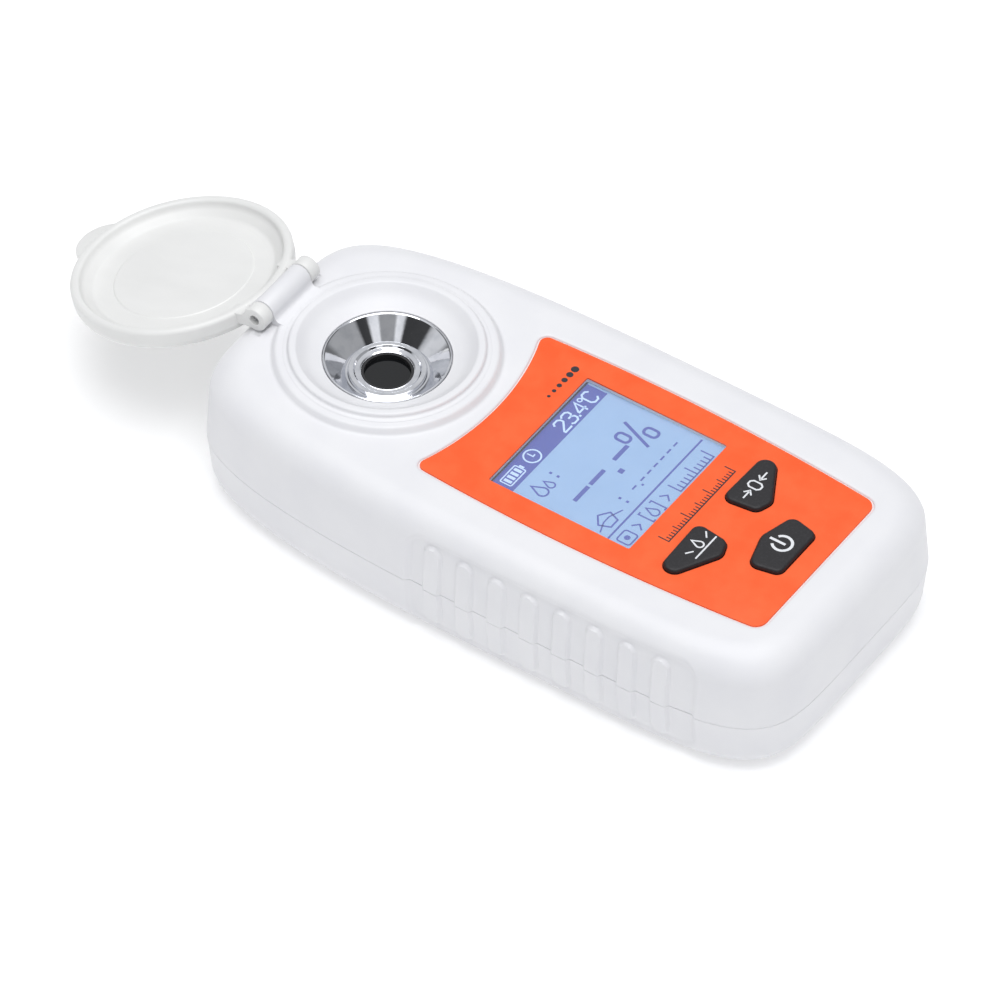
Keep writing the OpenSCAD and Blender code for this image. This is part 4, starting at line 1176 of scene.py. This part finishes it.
def lid_profile():
    """Section of the lid as it lies closed, from the middle of the outer face round to the floor."""
    edge = 1.9
    floor_z = LID_TOP - 1.75
    line = rounded([
        (0.0, LID_TOP, 0), (LID_R, LID_TOP, edge), (LID_R, LID_LOW, 0.75), (LID_R - 1.55, LID_LOW, 0.7),
        (LID_R - 1.95, LID_LOW + 1.2, 1.6), (15.7, floor_z + 0.1, 1.3), (14.8, floor_z + 0.15, 0.5),
        (12.2, floor_z + 0.15, 0.12), (12.0, floor_z, 0.12), (0.0, floor_z, 0)], turn=4)
    dense = [line[0]]
    for a, b in zip(line[:-1], line[1:]):
        gap = 0.1 if min(a[0], b[0]) > LID_R - 0.8 and max(a[1], b[1]) > LID_TOP - 3.3 else 1.2
        steps = max(1, math.ceil(np.linalg.norm(b - a) / gap))
        dense += [a + (b - a) * t for t in np.linspace(0, 1, steps + 1)[1:]]
    return np.array(dense)


def lid_shape():
    degrees = [np.arange(-180, -30, 1.0), np.arange(-30, 40, 0.25), np.arange(40, 180, 1.0)]
    from_tab = np.radians(np.concatenate(degrees))
    a = from_tab + 1.5 * math.pi
    n = len(a)
    loops = []
    for r, z in lid_profile():
        outer = r > LID_R - 0.8 and z > LID_TOP - 3.3
        rr = np.full(n, max(r, 0.02)) + (tab_reach(from_tab, np.full(n, z)) if outer else 0)
        loops.append(np.column_stack([rr * np.cos(a), CUP_Y + rr * np.sin(a), np.full(n, z)]))
    return Shape().loft(loops)


def lug(x0, x1):
    """Knuckle with a teardrop web that runs into the lid's rim."""
    a = np.linspace(math.radians(-140), math.radians(118), 56)
    ends = np.column_stack([KNUCKLE_R * np.cos(a), KNUCKLE_R * np.sin(a)])
    web = rounded([(*ends[-1], 0), (-2.0, 1.85, 1.8), (-5.2, 1.6, 0), (-5.2, -0.5, 0), (-2.5, -0.5, 0.9),
                   (*ends[0], 0)], turn=8)[:-1]
    line = np.vstack([ends, web[1:]])
    edge = 0.16
    ends = eased_ends(x0, x1, edge, 0.05, edge * 0.35)
    return Shape().loft([across_hinge(grow(line, -d), x) for x, d in ends])


def lid():
    obj = lid_shape().object("lid_cap", MATERIALS["lid_white"], 40)
    lugs = [tool(lug(*sorted((side * (MID_L / 2 + LUG_GAP), side * BARREL_L / 2)))) for side in (-1, 1)]
    carve(obj, lugs, "UNION")
    tools = [tool(hinge_cylinder(-MID_L / 2 - LUG_GAP, MID_L / 2 + LUG_GAP, KNUCKLE_R + 0.25)),
             tool(hinge_cylinder(-PIN_HOLE_HALF, PIN_HOLE_HALF, PIN_R + 0.08))]
    carve(obj, tools, smooth=40)
    axis = Vector(HINGE) * MM
    obj.data.transform(Matrix.Translation(axis) @ Matrix.Rotation(-SWING, 4, "X") @ Matrix.Translation(-axis))
    return finish(obj, "lid", "lid_white", "lid")


def carried_nodes():
    """CAD nodes that stay get the finish of their slot."""
    slots = {part["node"]: part["material_slot"] for part in frame["record"]["subparts"]}
    for node, obj in frame["nodes"].items():
        obj.data.materials.clear()
        obj.data.materials.append(MATERIALS[slots[node]])
        shade(obj, 40)


carried_nodes()
case_top()
case_bottom()
cup_surround()
sample_cup()
label()
label_marks()
for name in KEYS:
    key(name)
key_marks()
display()
lid()


# ---- camera, light and floor ------------------------------------------------------------------

RIGHT = (0.5666, -0.8240, 0.0)          # level directions: to the picture's right,
NEARER = (-0.8240, -0.5666, 0.0)        # towards the camera,
FILL_FROM = (-0.66, -0.75, 0.0)         # and where the sky is brightest low down


def camera():
    right = Vector(RIGHT).normalized()
    back = Vector((-0.5816, -0.3998, 0.7085)).normalized()
    up = back.cross(right)
    look = Vector((0.15, LCD_Y, 24.7))
    place = (look - 17.83 * right - 6.01 * up + 1576 * back) * MM
    data = bpy.data.cameras.new("camera")
    data.sensor_width = 36
    data.lens = 343.9
    data.clip_start = 0.05
    data.clip_end = 50
    obj = bpy.data.objects.new("camera", data)
    obj.matrix_world = Matrix((
        (right.x, up.x, back.x, place.x), (right.y, up.y, back.y, place.y),
        (right.z, up.z, back.z, place.z), (0, 0, 0, 1)))
    bpy.context.scene.collection.objects.link(obj)
    bpy.context.scene.camera = obj


def lamp(name, place, size, power):
    """A square soft lamp aimed at the object."""
    data = bpy.data.lights.new(name, "AREA")
    data.shape = "RECTANGLE"
    data.size = data.size_y = size
    data.energy = power
    obj = bpy.data.objects.new(name, data)
    obj.location = place
    obj.rotation_euler = (Vector((0, 0, 0.01)) - Vector(place)).to_track_quat("-Z", "Y").to_euler()
    bpy.context.scene.collection.objects.link(obj)


# Bands that polished metal mirrors: degrees round from the camera's direction, brightness
TENT = [(-180, 0.7), (-150, 0.7), (-143, 0.2), (-122, 0.2), (-114, 0.7), (-95, 0.75), (-86, 0.55),
        (-80, 0.06), (-39, 0.05), (-33, 0.85), (-21, 0.95), (-16, 0.38), (15, 0.36), (20, 0.95), (36, 0.9),
        (42, 0.06), (58, 0.05), (64, 0.4), (114, 0.42), (122, 0.18), (143, 0.18), (150, 0.7), (180, 0.7)]


def studio():
    """A soft sky, a banded tent that only glossy surfaces see, a pale backdrop and one large lamp."""
    world = bpy.data.worlds.new("studio")
    bpy.context.scene.world = world
    world.use_nodes = True
    tree = Tree(world.node_tree)
    coords = tree.new("ShaderNodeTexCoord").outputs["Generated"]

    def along(direction):
        node = tree.new("ShaderNodeVectorMath", operation="DOT_PRODUCT")
        node.inputs[1].default_value = direction
        tree.link(coords, node.inputs[0])
        return node.outputs["Value"]

    up = along((0, 0, 1))
    turn = tree.math("ARCTAN2", along(RIGHT), along(NEARER))
    bands = tree.fill(tree.new("ShaderNodeValToRGB"), Fac=tree.ramp(turn, -math.pi, math.pi, 0, 1))
    stops = bands.color_ramp.elements
    for angle, value in TENT:
        at = (angle + 180) / 360
        stop = stops[0] if at == 0 else stops[-1] if at == 1 else stops.new(at)
        stop.color = (value * 0.96, value * 0.975, value, 1)
    tent = tree.mix(tree.ramp(up, 0.80, 0.92, 0, 1), bands.outputs["Color"], (0.8, 0.81, 0.84, 1))
    fill = tree.ramp(along(FILL_FROM), -1, 1, 0.35, 1.4)
    strength = tree.math("MULTIPLY", tree.ramp(up, 0, 1, 0.07, 0.98), fill)
    soft = world.node_tree.nodes["Background"]
    shown = tree.fill(soft, Color=(0.95, 0.965, 1.0, 1), Strength=strength).outputs[0]
    path = tree.new("ShaderNodeLightPath")
    for ray, color in (("Is Glossy Ray", tent), ("Is Camera Ray", (0.97, 0.975, 0.98, 1))):
        other = tree.fill(tree.new("ShaderNodeBackground"), Color=color)
        both = tree.fill(tree.new("ShaderNodeMixShader"), Fac=path.outputs[ray])
        tree.link(shown, both.inputs[1])
        tree.link(other.outputs[0], both.inputs[2])
        shown = both.outputs[0]
    tree.link(shown, world.node_tree.nodes["World Output"].inputs["Surface"])
    lamp("key", (-0.02, 0.0, 1.6), 1.3, 16)
    bpy.context.scene.view_settings.view_transform = "Standard"


def floor():
    shape = Shape()
    n, half = 24, 3000
    line = np.linspace(-half, half, n)
    grid = [flat(np.column_stack([line, np.full(n, y)]), -0.02) for y in line]
    shape.loft(grid, caps=False, closed=False)
    m = Nodes("floor_white")
    tone = m.noise(60, 2.0)
    m.set(base_color=m.mix(tone, srgb("ececec"), srgb("e9e9e9")), roughness=0.9)
    m.set(emission_color=srgb("ffffff"), emission_strength=0.28)
    obj = shape.object("floor", m.material)


camera()
studio()
floor()
